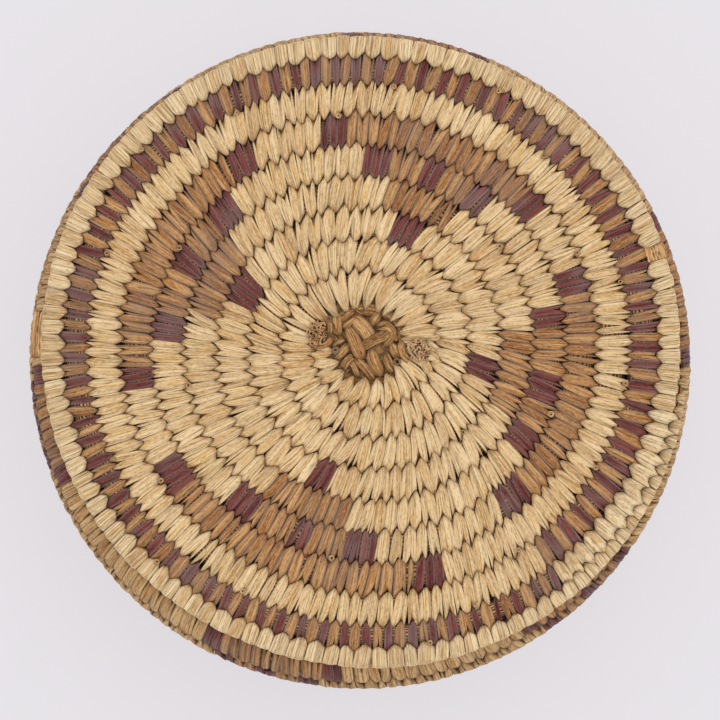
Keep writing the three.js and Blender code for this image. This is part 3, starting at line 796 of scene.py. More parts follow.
def strip_look(name, slot, body, light, dark, end, edge=None, wear_and_highlight=0.35, lines=0.5, roughness=0.6,
               crease_at=None, end_soil_and_shade=0.6, depth=0.6, varied=0.5):
    """Material and slot of a flat strip of straw: fibres along it, its own tone, rubbed edges, which on
    undyed straw are lighter partly from rubbing and partly as a painted highlight, its inner end darkened
    by dirt and painted shade, its outer end a little darker, dirt and painted shade along its long edges,
    painted shade where it lies deep, and where crease_at is given a painted highlight across it there.
    Colours are as on a screen, and edge is the colour of a dyed strip's rubbed places."""
    body, light, dark, end = (linear(colour) for colour in (body, light, dark, end))
    nodes = Nodes(name)
    x, run, seed = nodes.attribute("strip")
    side, left, deep = nodes.attribute("mark")
    apart = seed * STRIP_APART

    def along(per_width, per_length, detail, roughness):
        return nodes.noise(nodes.vector(x * per_width, run * per_length, apart), 1.0, detail, roughness)

    broad = along(0.8, 0.06, 2.0, 0.5)
    fibre = along(1.9, 0.05, 4.0, 0.7)
    fine = along(4.2, 0.12, 3.0, 0.7)
    crack = abs(along(1.0, 0.02, 2.0, 0.5) - 0.5)
    grain = along(7.0, 3.0, 3.0, 0.7)
    flecks = along(2.8, 0.7, 2.0, 0.6)
    cloud = nodes.noise(nodes.make("TexCoord", {}, "Object"), 45.0, 3.0, 0.6)
    ragged = fibre * 2.2
    edge_place = abs(side) + fibre * 0.3
    wear_soil_and_shade = end
    # undyed straw: lighter edges, partly rubbed straw and partly a painted highlight
    wear_and_edge_highlight = [(nodes.step(edge_place, 0.75, 1.0), wear_and_highlight, light)]
    if edge is not None:
        wear_soil_and_shade = linear(edge)
        wear_and_edge_highlight = [
            (nodes.step(edge_place + cloud * 0.5, 0.95, 1.35), 0.85, wear_soil_and_shade),
            (nodes.step(cloud + grain * 0.4, 0.68, 0.84), wear_and_highlight, wear_soil_and_shade),
        ]
    # a painted highlight across the strip, where it turns over the lid's outer edge
    if crease_at is None:
        crease_highlight = []
    else:
        crease_highlight = [(nodes.step(abs(run - crease_at), 1.3, 0.7), 0.7, light)]
    # Each layer's place, weight and colour, from the strip's own tone to the painted shade where it lies
    # deep
    layers = [
        (nodes.step(nodes.chance(apart), 0.4, 1.0), varied, dark),
        (nodes.step(nodes.chance(apart + 41.0), 0.4, 1.0), 0.6, light),
        (nodes.step(fibre, 0.54, 0.64), 0.7, light),
        (nodes.step(fibre, 0.47, 0.34), lines, dark),
        (nodes.step(fine, 0.44, 0.30), 0.6 * lines, dark),
        (nodes.step(crack, 0.014, 0.003), 0.7, end),
        (nodes.step(flecks, 0.54, 0.64), 0.65, light),
        (nodes.step(flecks, 0.45, 0.35), 0.6, dark),
        *wear_and_edge_highlight,
        # inner end darker: dirt, and painted shade where it dips under the row before
        (nodes.step(run - ragged, 1.0, -1.0), end_soil_and_shade, wear_soil_and_shade),
        # painted shade, with some dirt, along the strip's long edges beside the next strip
        (nodes.step(abs(side), 0.91, 0.99), 0.35, end),
        *crease_highlight,
        (nodes.step(left - ragged, 0.6, -0.9), 0.3, end),
        # painted shade by the mark's depth: crease and slit floors, stem feet and hollows, the bundle's
        # shaded sides and ribbons' lower edges; the splints' grooves too
        (deep, 0.9, end),
        (nodes.step(deep, 0.45, 1.0), 0.8, DEEP_SHADE),
    ]
    colour = nodes.mix(nodes.step(broad, 0.40, 0.60), body, light)
    for share, weight, other in layers:
        colour = nodes.mix(share * weight, colour, other)
    relief = fibre * 0.8 + fine * 0.35 - nodes.step(crack, 0.03, 0.0) * 0.3
    bump = nodes.make("Bump", {"Distance": depth * METRES, "Strength": 1.0, "Height": relief})
    nodes.put(nodes.shader, {
        "Normal": bump, "Base Color": colour, "Roughness": roughness, "Specular IOR Level": SPECULAR,
    })
    return nodes.material, slot


STRAW = strip_look(
    "straw", "straw", (228, 189, 128), (241, 211, 164), (184, 128, 66), (122, 76, 40),
    lines=0.6, end_soil_and_shade=0.35, varied=0.45)
RIM = strip_look(
    "straw_rim", "straw", (219, 181, 124), (243, 216, 172), (176, 124, 68), (104, 62, 34),
    end_soil_and_shade=0.4, crease_at=6.4)
AGED = strip_look(
    "straw_aged", "straw", (200, 152, 94), (224, 186, 134), (150, 100, 54), (92, 56, 32), end_soil_and_shade=0.45)
TAN = strip_look(
    "tan_strip", "tan_strip", (182, 122, 64), (212, 164, 110), (132, 77, 36), (82, 48, 30),
    edge=(146, 114, 94), wear_and_highlight=0.45, end_soil_and_shade=0.5, varied=0.7)
RED = strip_look(
    "dark_red_strip", "dark_red_strip", (106, 40, 36), (138, 74, 64), (74, 30, 28), (56, 32, 28),
    edge=(134, 106, 102), wear_and_highlight=0.6, roughness=0.5)
KNOT = strip_look(
    "knot_strip", "knot_strip", (202, 138, 76), (228, 178, 114), (116, 66, 32), (54, 31, 18),
    edge=(146, 112, 84), wear_and_highlight=0.15, lines=0.9, depth=1.1)
SPLINT = strip_look(
    "splint", "splint", (168, 118, 70), (204, 158, 106), (122, 74, 42), (58, 34, 22))
ROD = strip_look(
    "rod", "splint", (222, 164, 98), (240, 200, 144), (172, 108, 54), (110, 62, 30), end_soil_and_shade=0.0)
STEMS = strip_look(
    "stems", "splint", (214, 142, 82), (238, 190, 134), (140, 84, 46), (60, 34, 20),
    lines=0.3, end_soil_and_shade=0.0, depth=0.1)
PALE_STEMS = strip_look(
    "pale_stems", "splint", (232, 178, 122), (248, 208, 158), (150, 90, 50), (60, 34, 20),
    lines=0.4, end_soil_and_shade=0.0, depth=0.1)
LOOKS = {
    "straw": STRAW, "aged": AGED, "rim": RIM, "tan": TAN, "red": RED,
    "border_tan": TAN, "border_red": RED,
}

# The pieces' names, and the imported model's nodes that they replace
REPLACED = {
    "lid_straw_inner": "lid_coil",
    "lid_border_tan": "lid_border_stitches",
    "lid_rim_start": "lid_rim_stitches_start",
    "lid_rim": "lid_rim_stitches",
    "base_straw": "base_coil",
    "wall_straw_lower": "wall_coil",
    "shoulder_straw": "shoulder_coil",
}
for number in range(1, len(ARMS) + 1):
    REPLACED[f"lid_tan_{number}"] = f"lid_tan_stitches_{number}"
    for bars in ("side_bars", "middle_bars", "tip"):
        REPLACED[f"lid_{bars}_{number}"] = f"lid_red_{bars}_{number}"
for number in range(1, len(BAND_BLOCKS) + 1):
    REPLACED[f"band_tan_{number}"] = f"band_tan_stitches_{number}"
    REPLACED[f"band_bars_{number}"] = f"band_red_bars_{number}"
LAST_MARGIN = 0.02  # how much of a turn before the last one the wraps start


def sew_all(stitches, body, faces):
    """Makes a piece of each name and kind: strips over the faces, which are given by their sides,
    columns and rings, and wraps over the outermost row."""
    outermost = stitches.turn + 1 > stitches.coil.last_turn - LAST_MARGIN
    for piece in dict.fromkeys(stitches.piece):
        own = stitches.piece == piece
        for kind in sorted(set(stitches.kind[own])):
            mine = own & (stitches.kind == kind)
            within, edge = np.flatnonzero(mine & ~outermost), np.flatnonzero(mine & outermost)
            parts = [sew(stitches, within, *face) for face in faces if len(within)]
            if len(edge):
                parts.append(wrap(stitches, edge))
            name = piece.replace("border", KIND_NAMES[kind])
            replaced = [REPLACED[name]] if name in REPLACED else ()
            new_mesh(name, parts, LOOKS[KIND_NAMES[kind]], body, replaced)


HALF_ROW = 0.5
SHORT_RUN = 0.05  # a shorter rest of a stretch joins the run before it
ROUNDING = 1e-6  # allowed for where turns are compared


def with_straw(marked, first, last, kind, piece_at):
    """Fills the stretches between marked runs with natural stitches, half a row at a time."""
    runs = sorted(marked)
    filled = []
    turn = first
    for start, end in [(run[0], run[1]) for run in runs if run[0] < last] + [(last, last)]:
        while start - turn > ROUNDING:
            stop = min(start, turn + HALF_ROW)
            if start - stop < SHORT_RUN:
                stop = start
            filled.append((turn, stop, [kind], piece_at(turn)))
            turn = stop
        turn = max(turn, end)
    return runs + filled


def barred(bars, tan_piece, red_piece):
    """Runs of dark red bars, and of tan stitches from each bar to the next."""
    spaces = [(before[1], after[0]) for before, after in zip(bars, bars[1:])]
    return [(*bar, ["red"], red_piece) for bar in bars] + [(*space, ["tan"], tan_piece) for space in spaces]


# The lid's stitches
LID_SPLIT = 4.8  # the turn at which the lid's straw is parted into two pieces
# Where the bundle's splints show between two of the lid's stitches: row and angle
WIDE_GAPS = [(6, 352), (6, 5), (5, 356), (5, 330), (4, 277), (5, 281), (6, 232), (5, 128), (3, 64)]
WIDE_GAP = 1.1
BESIDE_KNOT = (0.42, 0.97)  # turns between which the stitches reach in to the knot


def lid_piece(turn):
    return "lid_straw_inner" if turn < LID_SPLIT else "lid_straw_outer"


def lid_runs():
    def span(row, angles):
        return tuple(lid_turn(row, angle) for angle in angles)

    runs = []
    for number, arm in enumerate(ARMS, 1):
        tan = f"lid_tan_{number}"
        for row, bars in ((WIDE_ROW, "side_bars"), (BARRED_ROW, "middle_bars")):
            runs += barred([span(row, angles) for angles in arm[bars]], tan, f"lid_{bars}_{number}")
        runs.append((*span(NARROW_ROW, arm["narrow"]), ["tan"], tan))
        runs.append((*span(TIP_ROW, arm["tip"]), ["red"], f"lid_tip_{number}"))
    border = LID_SEAM_TURN + BORDER_ROW
    gap = span(RIM_ROW, MISSING_STITCH)
    runs += [
        (border, border + 1, ["border_tan", "border_red"], "lid_border"),
        (border + 1, gap[0], ["rim"], "lid_rim_start"),
        (*gap, [], None),
        (gap[1], LID_END_TURN, ["rim"], "lid_rim"),
    ]
    return with_straw(runs, 0, border, "straw", lid_piece)


def lid_lean(turn):
    row = np.clip(np.floor(turn - LID_SEAM_TURN + ROUNDING), 0, len(ROW_LEANS) - 1).astype(int)
    angle = LID_START_ANGLE + TURN * turn
    swing = LEAN_SWING * np.cos(np.radians(2 * (angle - LEAN_PEAK)))
    return np.array(ROW_LEANS)[row] - swing


lid_stitches = Stitches(lid_coil, lid_runs(), lid_lean)
for row, angle in WIDE_GAPS:
    nearest = np.argmin(np.abs(lid_stitches.turn - lid_turn(row, angle)))
    lid_stitches.gap[nearest] = WIDE_GAP
beside_knot = (lid_stitches.turn > BESIDE_KNOT[0]) & (lid_stitches.turn < BESIDE_KNOT[1])
lid_stitches.reach[beside_knot] += lid_inner_edge(lid_stitches.turn[beside_knot]) - KNOT_RADIUS
sew_all(lid_stitches, "lid", [(1, 6, RING_SHARES), (-1, 2, np.linspace(0, 1, 6))])
new_mesh("lid_bundle", [bundle(lid_stitches, 0, LID_END_TURN, 26, 3.5)], SPLINT, "lid")

# The basket's stitches: plain up to the foot, stepped motifs on the wall, the band and the mouth
FOOT_TURN = (FOOT_RADIUS - FIRST_DISTANCE) / PITCH
SHOULDER_TURN = BASKET_TURNS - 3
BASKET_PIECES = [
    (FOOT_TURN - 0.01, "base_straw"), ((FOOT_TURN + SHOULDER_TURN) / 2, "wall_straw_lower"),
    (SHOULDER_TURN - 0.01, "wall_straw_upper"), (BASKET_TURNS, "shoulder_straw"),
]


def basket_piece(turn):
    return next(piece for last, piece in BASKET_PIECES if turn < last)


def basket_runs():
    bar = turns_of(BAND_BAR)
    runs = [(*map(band_turn, BARE_BAND), [], None)]
    for number, (start, end) in enumerate(BAND_BLOCKS, 1):
        first, last = band_turn(start), band_turn(end)
        ends = [(first, first + bar), (last - bar, last)]
        runs += barred(ends, f"band_tan_{number}", f"band_bars_{number}")
        middle = (first + last) / 2
        wide, narrow, tip = (share * (last - first) for share in MOTIF_STEPS)
        tan, red = f"wall_tan_{number}", f"wall_bars_{number}"
        centre = middle - 1
        runs += barred([
            (centre - wide, centre - wide + bar), (centre - bar / 2, centre + bar / 2),
            (centre + wide - bar, centre + wide),
        ], tan, red)
        runs.append((middle - 2 - narrow, middle - 2 + narrow, ["tan"], tan))
        runs.append((middle - 3 - tip, middle - 3 + tip, ["red"], red))
    return with_straw(runs, BASE_FIRST_TURN, BASKET_TURNS, "aged", basket_piece)


def basket_lean(turn):
    return np.full_like(turn, WALL_LEAN)


basket_stitches = Stitches(basket_coil, basket_runs(), basket_lean)
sew_all(basket_stitches, "basket", [(-1, 3, np.linspace(0, 1, 6)), (1, 2, np.linspace(0, 1, 5))])
basket_splints = bundle(basket_stitches, BASE_FIRST_TURN, BASKET_TURNS, 20, 5.5)
new_mesh("basket_bundle", [basket_splints], SPLINT, "basket")


# Flat strips that lie free: knots, sheaths, rolls and curled ends
RIBBON_STEP = 0.45
RIBBON_END = 0.7  # over what length a ribbon's end narrows, in widths
RIBBON_END_POWER = 1.6
RIBBON_RIDGE = 0.09
RIBBON_EDGE_DROP = 0.2
SHADED_FROM = 0.8  # over a ribbon's width from -1 to 1; it is darker from there down
SHADED_OVER = 1.2


def smooth_path(points, count):
    """A smooth line through points, by Catmull and Rom."""
    points = np.concatenate([2 * points[:1] - points[1:2], points, 2 * points[-1:] - points[-2:-1]])
    share = np.linspace(0, len(points) - 3 - 1e-9, count)
    part = share.astype(int)
    t = (share - part)[:, None]
    a, b, c, d = (points[part + i] for i in range(4))
    return 0.5 * (2 * b + (c - a) * t + (2 * a - 5 * b + 4 * c - d) * t**2 + (3 * b - a - 3 * c + d) * t**3)


def ribbon(points, width, thickness=0.7, crown=0.15, ends=0.7, standing=False, count=None, columns=9,
           shade=0.0):
    """A flat strip along a line, lying with its width level or standing on its edge."""
    points = np.array(points, float)
    count = count or max(8, int(running_length(points)[-1] / RIBBON_STEP))
    middle = smooth_path(points, count)
    along = unit(np.gradient(middle, axis=0))
    across = np.cross(along, (0, 0, 1))
    if standing:
        across = np.cross(across, along)
    across = unit(across)
    normal = np.cross(across, along)
    run = running_length(middle)
    left = run[-1] - run
    x = columns_across(columns)
    end = 1 - ends * (1 - np.clip(np.minimum(run, left) / (RIBBON_END * width), 0, 1)) ** RIBBON_END_POWER
    half = width / 2 * end
    relief = crown * (1 - x**2) + random.normal(0, RIBBON_RIDGE, columns)
    relief = relief - RIBBON_EDGE_DROP * (np.abs(x) > AT_EDGE)
    top = (middle[:, None] + across[:, None] * (half[:, None] * x)[..., None]
           + normal[:, None] * np.broadcast_to(relief, (count, columns))[..., None])
    back = [-1, columns // 2, 0]
    vertices = np.concatenate([top, top[:, back] - thickness * normal[:, None]], 1)
    x = np.concatenate([x, x[back]])
    dark = shade * np.clip((SHADED_FROM - x) / SHADED_OVER, 0, 1)
    return make_part(
        vertices, strip_faces(count, len(x), -1),
        (x * width / 2, run[:, None], random.random()), (x, left[:, None], dark))


# A plait of flat strips, as many one way as the other, each over and under the next
PLAIT_STRIPS = 8
PLAIT_SPACING = 4.5
PLAIT_WIDTH = 4.55
PLAIT_REACH = 18.0
PLAIT_RISE = 0.45
PLAIT_ANGLE = 33


def plait(centre, level):
    turned = np.radians(PLAIT_ANGLE)
    ways = [np.array([np.cos(turned + k * np.pi / 2), np.sin(turned + k * np.pi / 2)]) for k in (0, 1)]
    middles = (np.arange(PLAIT_STRIPS) - (PLAIT_STRIPS - 1) / 2) * PLAIT_SPACING
    parts = []
    for way in (0, 1):
        along, across = ways[way], ways[1 - way]
        for index, offset in enumerate(middles):
            reach = np.sqrt(PLAIT_REACH**2 - offset**2)
            crossed = [k for k, middle in enumerate(middles) if abs(middle) < reach - 1]
            places = [-reach, *middles[crossed], reach]
            heights = [PLAIT_RISE * (1 if (k + index + way) % 2 == 0 else -1) for k in crossed]
            sway = random.normal(0, 0.12, len(places))
            points = [
                (*(np.array(centre) + along * place + across * (offset + bent)), level + height)
                for place, height, bent in zip(places, [0.0, *heights, 0.0], sway)
            ]
            parts.append(ribbon(points, PLAIT_WIDTH, 0.6, 0.25, ends=0.1))
    return parts


# The lid's knot, strip by strip: width, then points from the basket's axis with their heights
# over the knot's ground
LID_TOP = LID_TOP_LEVEL + COIL_THICKNESS / 2
KNOT_GROUND = LID_TOP - 3.0
KNOT_STRIPS = [
    (3.0, [(-9.4, 15.3, 0.4), (-8.6, 11.7, 1.3), (-6.9, 8.1, 0.6)]),
    (1.6, [(-7.0, 15.6, 0.3), (-6.9, 11.4, 1.5), (-6.7, 8.3, 0.5)]),
    (1.9, [(-6.7, 13.0, 0.5), (-3.9, 15.3, 1.3), (-1.7, 16.7, 0.6)]),
    (2.2, [(-5.8, 10.6, 0.4), (-2.8, 12.8, 1.4), (1.1, 15.2, 0.5)]),
    (3.2, [(3.0, 11.0, 0.2), (5.0, 13.6, 1.4), (6.7, 16.1, 0.4)]),
    (3.0, [(5.4, 10.4, 0.5), (8.9, 11.2, 1.4), (10.8, 9.2, 1.5), (9.9, 6.7, 1.1), (8.0, 4.5, 0.2)]),
    (1.5, [(5.3, 11.4, 1.2), (7.8, 12.3, 1.7), (10.1, 12.4, 1.0)]),
    (4.4, [(3.4, 4.0, 0.4), (4.8, -0.9, 1.7), (7.2, -5.6, 0.3)]),
    (2.9, [(-1.9, 0.8, 0.4), (2.0, -2.9, 1.4), (4.6, -6.6, 0.2)]),
    (2.2, [(-3.4, 0.1, 0.3), (-1.7, -3.0, 1.0), (-0.4, -6.0, 0.1)]),
    (1.6, [(-6.4, -2.8, 0.3), (-4.6, 0.2, 1.3), (-2.2, 1.9, 0.6)]),
    (1.2, [(-5.4, -3.4, 0.2), (-3.6, -0.9, 1.0), (-1.9, 0.8, 0.5)]),
    (2.9, [(-8.8, 0.1, 0.2), (-6.1, 2.5, 1.3), (-3.6, 5.6, 0.5)]),
    (3.0, [(-12.8, 0.4, 0.2), (-11.0, 2.2, 0.9), (-9.0, 4.0, 0.4)]),
    (1.6, [(-9.4, 4.5, 0.5), (-7.1, 6.0, 1.2), (-4.9, 6.9, 0.6)]),
    (3.2, [(13.0, 0.0, 0.3), (11.7, 2.8, 1.5), (10.2, 5.8, 0.8)]),
    (1.6, [(7.8, 1.7, 0.5), (9.3, -2.1, 1.4), (11.2, -4.3, 0.5)]),
    (1.4, [(8.9, 2.4, 0.6), (10.5, -1.0, 1.5), (12.0, -3.0, 0.6)]),
    (1.1, [(11.7, 9.7, 1.0), (12.2, 6.1, 1.1)]),
    (1.0, [(12.8, 9.9, 0.8), (13.2, 6.5, 0.9)]),
    (0.8, [(-1.7, 17.2, 1.2), (-0.3, 15.8, 1.9), (2.3, 15.1, 1.2)]),
    (3.7, [(-0.5, 3.9, 0.7), (1.1, 4.7, 1.5), (4.7, 6.7, 2.5), (8.3, 8.3, 2.2), (10.2, 10.2, 1.0)]),
    (5.3, [(-2.8, 14.2, 0.6), (-1.4, 13.2, 1.8), (1.1, 10.8, 2.7), (3.0, 7.8, 1.9), (3.9, 5.6, 0.6)]),
    (4.3, [(-4.4, 11.4, 0.9), (-3.3, 9.4, 2.0), (-1.9, 6.4, 3.0), (-0.3, 2.8, 2.5), (1.2, 0.4, 0.9)]),
]
SHEATHS = [
    (2.0, [(-16.4, 4.8, 2.6), (-11.9, 4.9, 3.4), (-9.0, 7.6, 2.8)]),
    (1.8, [(-12.4, 15.2, 1.4), (-10.2, 12.2, 3.0), (-9.9, 8.6, 3.0)]),
    (2.8, [(13.6, 6.6, 2.0), (14.4, 2.2, 3.2), (17.4, -1.3, 2.4)]),
]
# The pale rim of a sheath, and the pale strips that spread from the right bundle end
PALE_STRIPS = [
    (0.7, [(16.0, 6.6, 4.8), (16.5, 2.9, 5.2), (19.8, -0.7, 4.6)]),
    (2.4, [(21.6, 5.6, 1.6), (24.4, 4.2, 1.9), (27.2, 2.2, 1.0)]),
    (1.9, [(22.2, 3.0, 1.7), (24.6, 1.4, 2.0), (26.6, -1.0, 1.1)]),
    (3.3, [(20.2, 0.6, 1.6), (22.0, -2.0, 2.3), (23.6, -5.2, 1.2)]),
    (1.7, [(22.6, 1.2, 1.6), (25.4, -0.4, 1.9), (27.8, -1.9, 1.2)]),
    (2.2, [(21.8, 6.8, 1.4), (24.6, 7.4, 1.9), (27.4, 7.2, 1.0)]),
]
# Arcs under the knot: radius, and the angles where they start and end
GROUND_ARCS = [(13.2, -25, 75), (12.4, 60, 150), (13.6, 130, 215), (13.0, 205, 340)]
GROUND_WIDTH = 4.6
GROUND_HEIGHT = -0.3
# Strips rolled up in the knot: place, radius and turns
KNOT_ROLLS = [((-8.0, 3.2, 1.4), 1.05, 1.3), ((12.4, -0.7, 1.5), 0.95, 1.2), ((-10.4, 13.6, 2.2), 0.8, 1.7)]
KNOT_ROLL_HEIGHT = 2.2
ROLL_POINTS = 28
# Ends of strips that are curled up between the rows: row and angle
CURLS = [
    (7, 352), (7, 331), (7, 14), (7, 47), (7, 83), (7, 118), (7, 161), (7, 204), (7, 243), (7, 292),
    (6, 306), (6, 25), (6, 97), (6, 214), (5, 340), (5, 152), (5, 261), (4, 38), (4, 193), (3, 318),
    (8, 64), (8, 139), (8, 226), (8, 281),
]
CURL_RADIUS = 0.62
CURL_HEIGHT = 1.4


def over_knot(points):
    return [(x, y, KNOT_GROUND + z) for x, y, z in points]


def rolled(centre, radius, turns, height):
    """A strip rolled up, standing with its end upward."""
    angle = np.linspace(0, 2 * np.pi * turns, ROLL_POINTS) + random.uniform(0, 6)
    away = radius * np.linspace(0.35, 1, ROLL_POINTS)
    x, y = centre[0] + away * np.cos(angle), centre[1] + away * np.sin(angle)
    points = np.stack([x, y, np.full(ROLL_POINTS, centre[2])], 1)
    return ribbon(points, height, 0.28, 0.05, 0.1, True, count=30, columns=7, shade=0.9)


def ground_arc(radius, first, last):
    angles = np.radians(np.linspace(first, last, 12))
    x, y = LID_SHIFT[0] + radius * np.cos(angles), LID_SHIFT[1] + radius * np.sin(angles)
    return ribbon(over_knot((*place, GROUND_HEIGHT) for place in zip(x, y)), GROUND_WIDTH)


def curled_end(row, angle):
    turn = lid_turn(row, angle + random.uniform(-1, 1))
    x, y, z = lid_coil.track.place(turn, -lid_coil.pitch(turn - 1) / 2, COIL_THICKNESS / 2)
    return rolled((x, y, z - 0.5), CURL_RADIUS * random.uniform(0.75, 1.25), 1.5, CURL_HEIGHT)


knot_parts = [ribbon(over_knot(points), width) for width, points in KNOT_STRIPS + SHEATHS]
knot_parts += [ground_arc(*arc) for arc in GROUND_ARCS]
for place, radius, turns in KNOT_ROLLS:
    knot_parts.append(rolled(over_knot([place])[0], radius, turns, KNOT_ROLL_HEIGHT))
new_mesh("lid_knot", knot_parts, KNOT, "lid", [f"lid_knot_strip_along_{k}" for k in (1, 2, 3)])
new_mesh("lid_plait", plait(LID_SHIFT, LID_TOP_LEVEL - 0.4), KNOT, "lid",
         [f"lid_knot_strip_across_{k}" for k in (1, 2, 3)])
pale_parts = [ribbon(over_knot(points), width, 0.5, 0.2) for width, points in PALE_STRIPS]
new_mesh("lid_sheath_rims", pale_parts, STRAW, "lid")
new_mesh("lid_curled_ends", [curled_end(*curl) for curl in CURLS], AGED, "lid")

# Rods of the bundle that show where a coil isn't sewn
ROD_WIDTH = 1.15
ROD_SINK = 0.75


def rods(coil, turns, places, level):
    turns = np.linspace(*turns, 9)
    parts = []
    for place in places:
        sway = random.normal(0, 0.1, len(turns))
        up = level + random.normal(0, 0.12) + 0 * turns
        points = coil.track.place(turns, place + sway, up)
        parts.append(ribbon(points, ROD_WIDTH * random.uniform(0.8, 1.15), 0.7, 0.3, 0.2))
    return parts


window = [lid_turn(RIM_ROW, angle) for angle in MISSING_STITCH]
window_rods = rods(lid_coil, window, np.arange(-2.6, 3.2, 1.1), COIL_THICKNESS / 2 - ROD_SINK)
new_mesh("lid_bare_rods", window_rods, ROD, "lid")
bare_band = [band_turn(angle) for angle in BARE_BAND]
band_rods = rods(basket_coil, bare_band, np.arange(-4.2, 4.6, 1.2), ROD_SINK - COIL_THICKNESS / 2)
new_mesh("basket_bare_rods", band_rods, ROD, "basket")

# The cut ends of the start bundles
STEM_SIDES = 8
STEM_FOOT = LID_TOP_LEVEL + 1
BUNDLE_TOP = LID_TOP + 2.3
STEM_BORE = 0.66  # how wide a stem's hollow is at its end, in radii
STEM_HOLLOW = (1.6, 0.5)  # how deep it is, and how wide at its bottom
GOLDEN_ANGLE = 2.39996  # in radians, from one stem or curl to the next


def stem(foot, top, radius):
    """A cut stem with a hollow end."""
    foot, top = np.array(foot, float), np.array(top, float)
    axis = (top - foot) / np.linalg.norm(top - foot)
    side = np.cross(axis, (1, 0, 0))
    side /= np.linalg.norm(side)
    angle = np.linspace(0, 2 * np.pi, STEM_SIDES, endpoint=False)
    circle = side * np.cos(angle)[:, None] + np.cross(axis, side) * np.sin(angle)[:, None]
    squash = 1 - random.uniform(0.15, 0.6) * np.cos(angle + random.uniform(0, 6))[:, None] ** 2
    ragged = axis * random.uniform(-0.25, 0.25, (STEM_SIDES, 1))
    rings = [
        foot + circle * radius,
        top + circle * radius * squash + ragged,
        top + circle * radius * STEM_BORE * squash + ragged,
        top - axis * radius * STEM_HOLLOW[0] + circle * radius * STEM_HOLLOW[1],
    ]
    around = np.tile(angle * radius, len(rings))
    run = np.repeat([5.0, 4.0, 3.0, 0.0], STEM_SIDES)
    # painted shade: dark at the stem's foot, a little at the bore's edge, darkest down its hollow, none on
    # its rim
    deep = np.repeat([0.8, 0.0, 0.3, 1.0], STEM_SIDES)
    return make_part(
        np.concatenate(rings), strip_faces(len(rings), STEM_SIDES, -1),
        (around, run, random.random()), (0, run, deep))


def bundle_end(centre, spread, top, count):
    """A cut end of a bundle: low stems, and between them thin strips that curl as they dry."""
    parts = []
    for number in range(count):
        away = np.sqrt((number + 0.5) / count)
        angle = number * GOLDEN_ANGLE + random.normal(0, 0.15)
        x = centre[0] + spread[0] * away * np.cos(angle)
        y = centre[1] + spread[1] * away * np.sin(angle)
        height = top - 0.9 * away**2 + random.normal(0, 0.4) - 1
        if number % 3 == 0:
            tilt = random.normal(0, 0.5, 2)
            foot, end = (x - tilt[0], y - tilt[1], STEM_FOOT), (x + tilt[0], y + tilt[1], height)
            parts.append(stem(foot, end, random.uniform(0.45, 0.7)))
        else:
            radius = random.uniform(0.4, 0.85)
            parts.append(rolled((x, y, height), radius, random.uniform(0.45, 1.0), 2.4))
    return parts


left_parts = bundle_end((-14.2, 8.9), (3.0, 4.0), BUNDLE_TOP - 0.3, 42)
new_mesh("lid_bundle_end_left_stems", left_parts, STEMS, "lid", ["lid_bundle_end_left"])
right_parts = bundle_end((20.0, 3.2), (3.5, 3.5), BUNDLE_TOP, 44)
new_mesh("lid_bundle_end_right_stems", right_parts, PALE_STEMS, "lid", ["lid_bundle_end_right"])
base_knot_nodes = [f"base_knot_strip_{way}_{k}" for way in ("along", "across") for k in (1, 2, 3)]
new_mesh("base_knot", plait((0, 0), BASE_LEVEL - 0.8), KNOT, "basket", base_knot_nodes)

# Locating ring: one turn of a thinner coil, wrapped with straw all round
RING_WIDTH = 7.0
RING_THICKNESS = 6.0
RING_PLAY = 2.5
RING_SHIFT = (0.4, 1.7)
RING_STITCH = 4.5
RING_COLUMNS = 7
RING_ROUND = 22
RING_CROWN = 0.45
RING_INSET = 0.4
RING_EDGE_DROP = 0.6
RING_SQUARING = 0.85
RING_LEAN = 0.9
RING_RUN = 8  # how far from a strip's darkened end (dirt and painted shade) the ring's straw starts
taper_start = BASKET_TURNS - turns_of(MOUTH_TAPER_SWEEP)
mouth_radius = basket_track.radius(taper_start) - basket_size(taper_start)[0] / 2
mouth_radius *= 1 - BASKET_OVALNESS
ring_radius = (mouth_radius - RING_PLAY - RING_WIDTH / 2) / (1 + BASKET_OVALNESS)
ring_level = np.interp(mouth_radius, lid_coil.track.points[:, 0], lid_coil.track.points[:, 1])
ring_level -= (COIL_THICKNESS + RING_THICKNESS) / 2 + CLEARANCE
ring_track = Track(
    [line((0, ring_level), (mouth_radius, ring_level))], BASKET_END_ANGLE,
    lambda turn: ring_radius + 0 * turn, BASKET_OVALNESS, RING_SHIFT)


def wrapped_ring():
    length = ring_track.circumference(0.0)
    count = int(length / RING_STITCH)
    columns = columns_across(RING_COLUMNS)
    widths = random.uniform(0.85, 1.15, count)
    edges = np.concatenate([[0], np.cumsum(widths)]) / widths.sum()
    middle = (edges[1:] + edges[:-1]) / 2
    half = np.diff(edges) / 2
    turn = (middle[:, None] + half[:, None] * columns * AT_EDGE).reshape(-1, 1)
    relief = RING_CROWN * (1 - columns**2) - RING_EDGE_DROP * (np.abs(columns) > AT_EDGE)
    relief = (relief[None] + random.normal(0, 0.05, (count, RING_COLUMNS))).reshape(-1, 1)
    angle = np.linspace(0, 2 * np.pi, RING_ROUND, endpoint=False)[None]
    cosine, sine = np.cos(angle), np.sin(angle)
    across = (RING_WIDTH / 2 - RING_INSET + relief) * signed_power(cosine, RING_SQUARING)
    up = (RING_THICKNESS / 2 - RING_INSET + relief) * signed_power(sine, RING_SQUARING)
    vertices = ring_track.place(turn + RING_LEAN * sine / length, across, up)
    x = np.tile(columns, count)[:, None]
    run = RING_RUN + angle * RING_THICKNESS / 2
    seed = np.repeat(random.random(count), RING_COLUMNS)[:, None]
    return make_part(
        vertices, strip_faces(len(turn), RING_ROUND, 1), (x * RING_STITCH / 2, run, seed), (x, run, 0))


new_mesh("lid_ring", [wrapped_ring()], STRAW, "lid", ["lid_locating_ring"])

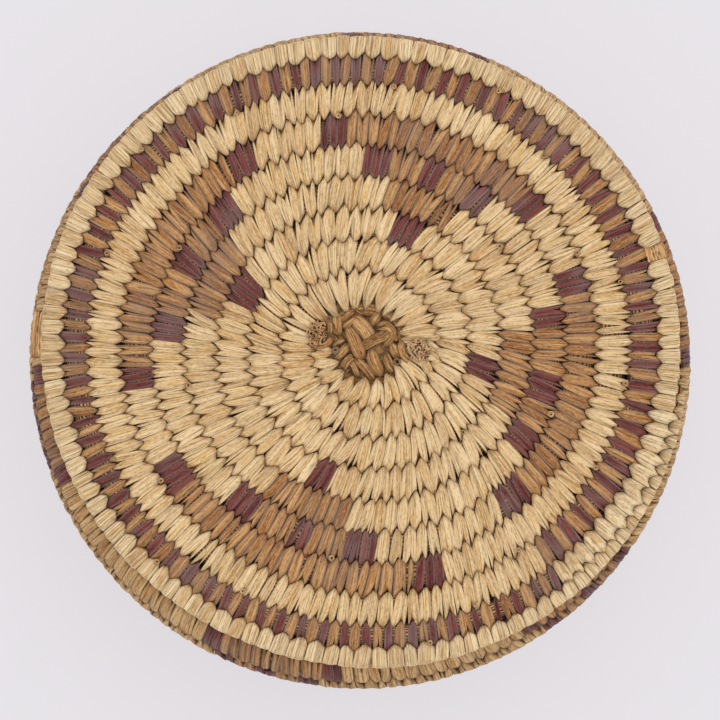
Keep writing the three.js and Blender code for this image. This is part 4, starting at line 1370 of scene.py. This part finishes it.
# Floor, light and camera, in metres, radians and watts
FLOOR_SIZE = 6.0
FLOOR_COLOUR = (231, 228, 233)
FLOOR_ROUGHNESS = 0.9
FLOOR_GLOW = 0.72
SKY_STRENGTH = 0.9
WINDOW_SIZE = 1.6
WINDOW_POWER = 10
WINDOW_PLACE = (0.25, 0.5, 1.9)
WINDOW_TURN = (-0.26, 0.13, 0)
CAMERA_DISTANCE = 1.4
LENS = 210
SENSOR = 36


def pale_floor():
    """A pale floor, part of whose paleness is only seen and lights nothing."""
    bpy.ops.mesh.primitive_plane_add(size=FLOOR_SIZE)
    floor = bpy.context.object
    floor.name = "floor"
    nodes = Nodes("floor")
    pale = linear(FLOOR_COLOUR)
    nodes.put(nodes.shader, {"Base Color": pale, "Roughness": FLOOR_ROUGHNESS})
    lit = Value(nodes, nodes.shader.outputs[0])
    glow = nodes.make("Emission", {"Color": pale})
    seen, glossy, clear = (
        nodes.make("LightPath", {}, f"Is {ray} Ray") for ray in ("Camera", "Glossy", "Transmission"))
    seen = nodes.math("MAXIMUM", nodes.math("MAXIMUM", seen, glossy), clear)
    blend = nodes.make("MixShader", {"Fac": seen * FLOOR_GLOW, 1: lit, 2: glow})
    nodes.put(nodes.tree.nodes["Material Output"], {"Surface": blend})
    floor.data.materials.append(nodes.material)


def soft_light():
    world = bpy.data.worlds.new("studio")
    world.use_nodes = True
    background = world.node_tree.nodes["Background"]
    background.inputs["Color"].default_value = (1, 1, 1, 1)
    background.inputs["Strength"].default_value = SKY_STRENGTH
    bpy.context.scene.world = world
    lamp = bpy.data.lights.new("window", "AREA")
    lamp.size = WINDOW_SIZE
    lamp.energy = WINDOW_POWER
    holder = bpy.data.objects.new("window", lamp)
    holder.location = WINDOW_PLACE
    holder.rotation_euler = WINDOW_TURN
    bpy.context.scene.collection.objects.link(holder)


def camera_above():
    data = bpy.data.cameras.new("camera")
    data.lens = LENS
    data.sensor_width = SENSOR
    camera = bpy.data.objects.new("camera", data)
    camera.location = (0, 0, LID_TOP * METRES + CAMERA_DISTANCE)
    bpy.context.scene.collection.objects.link(camera)
    bpy.context.scene.camera = camera


pale_floor()
soft_light()
camera_above()
bpy.context.scene.view_settings.view_transform = "Standard"
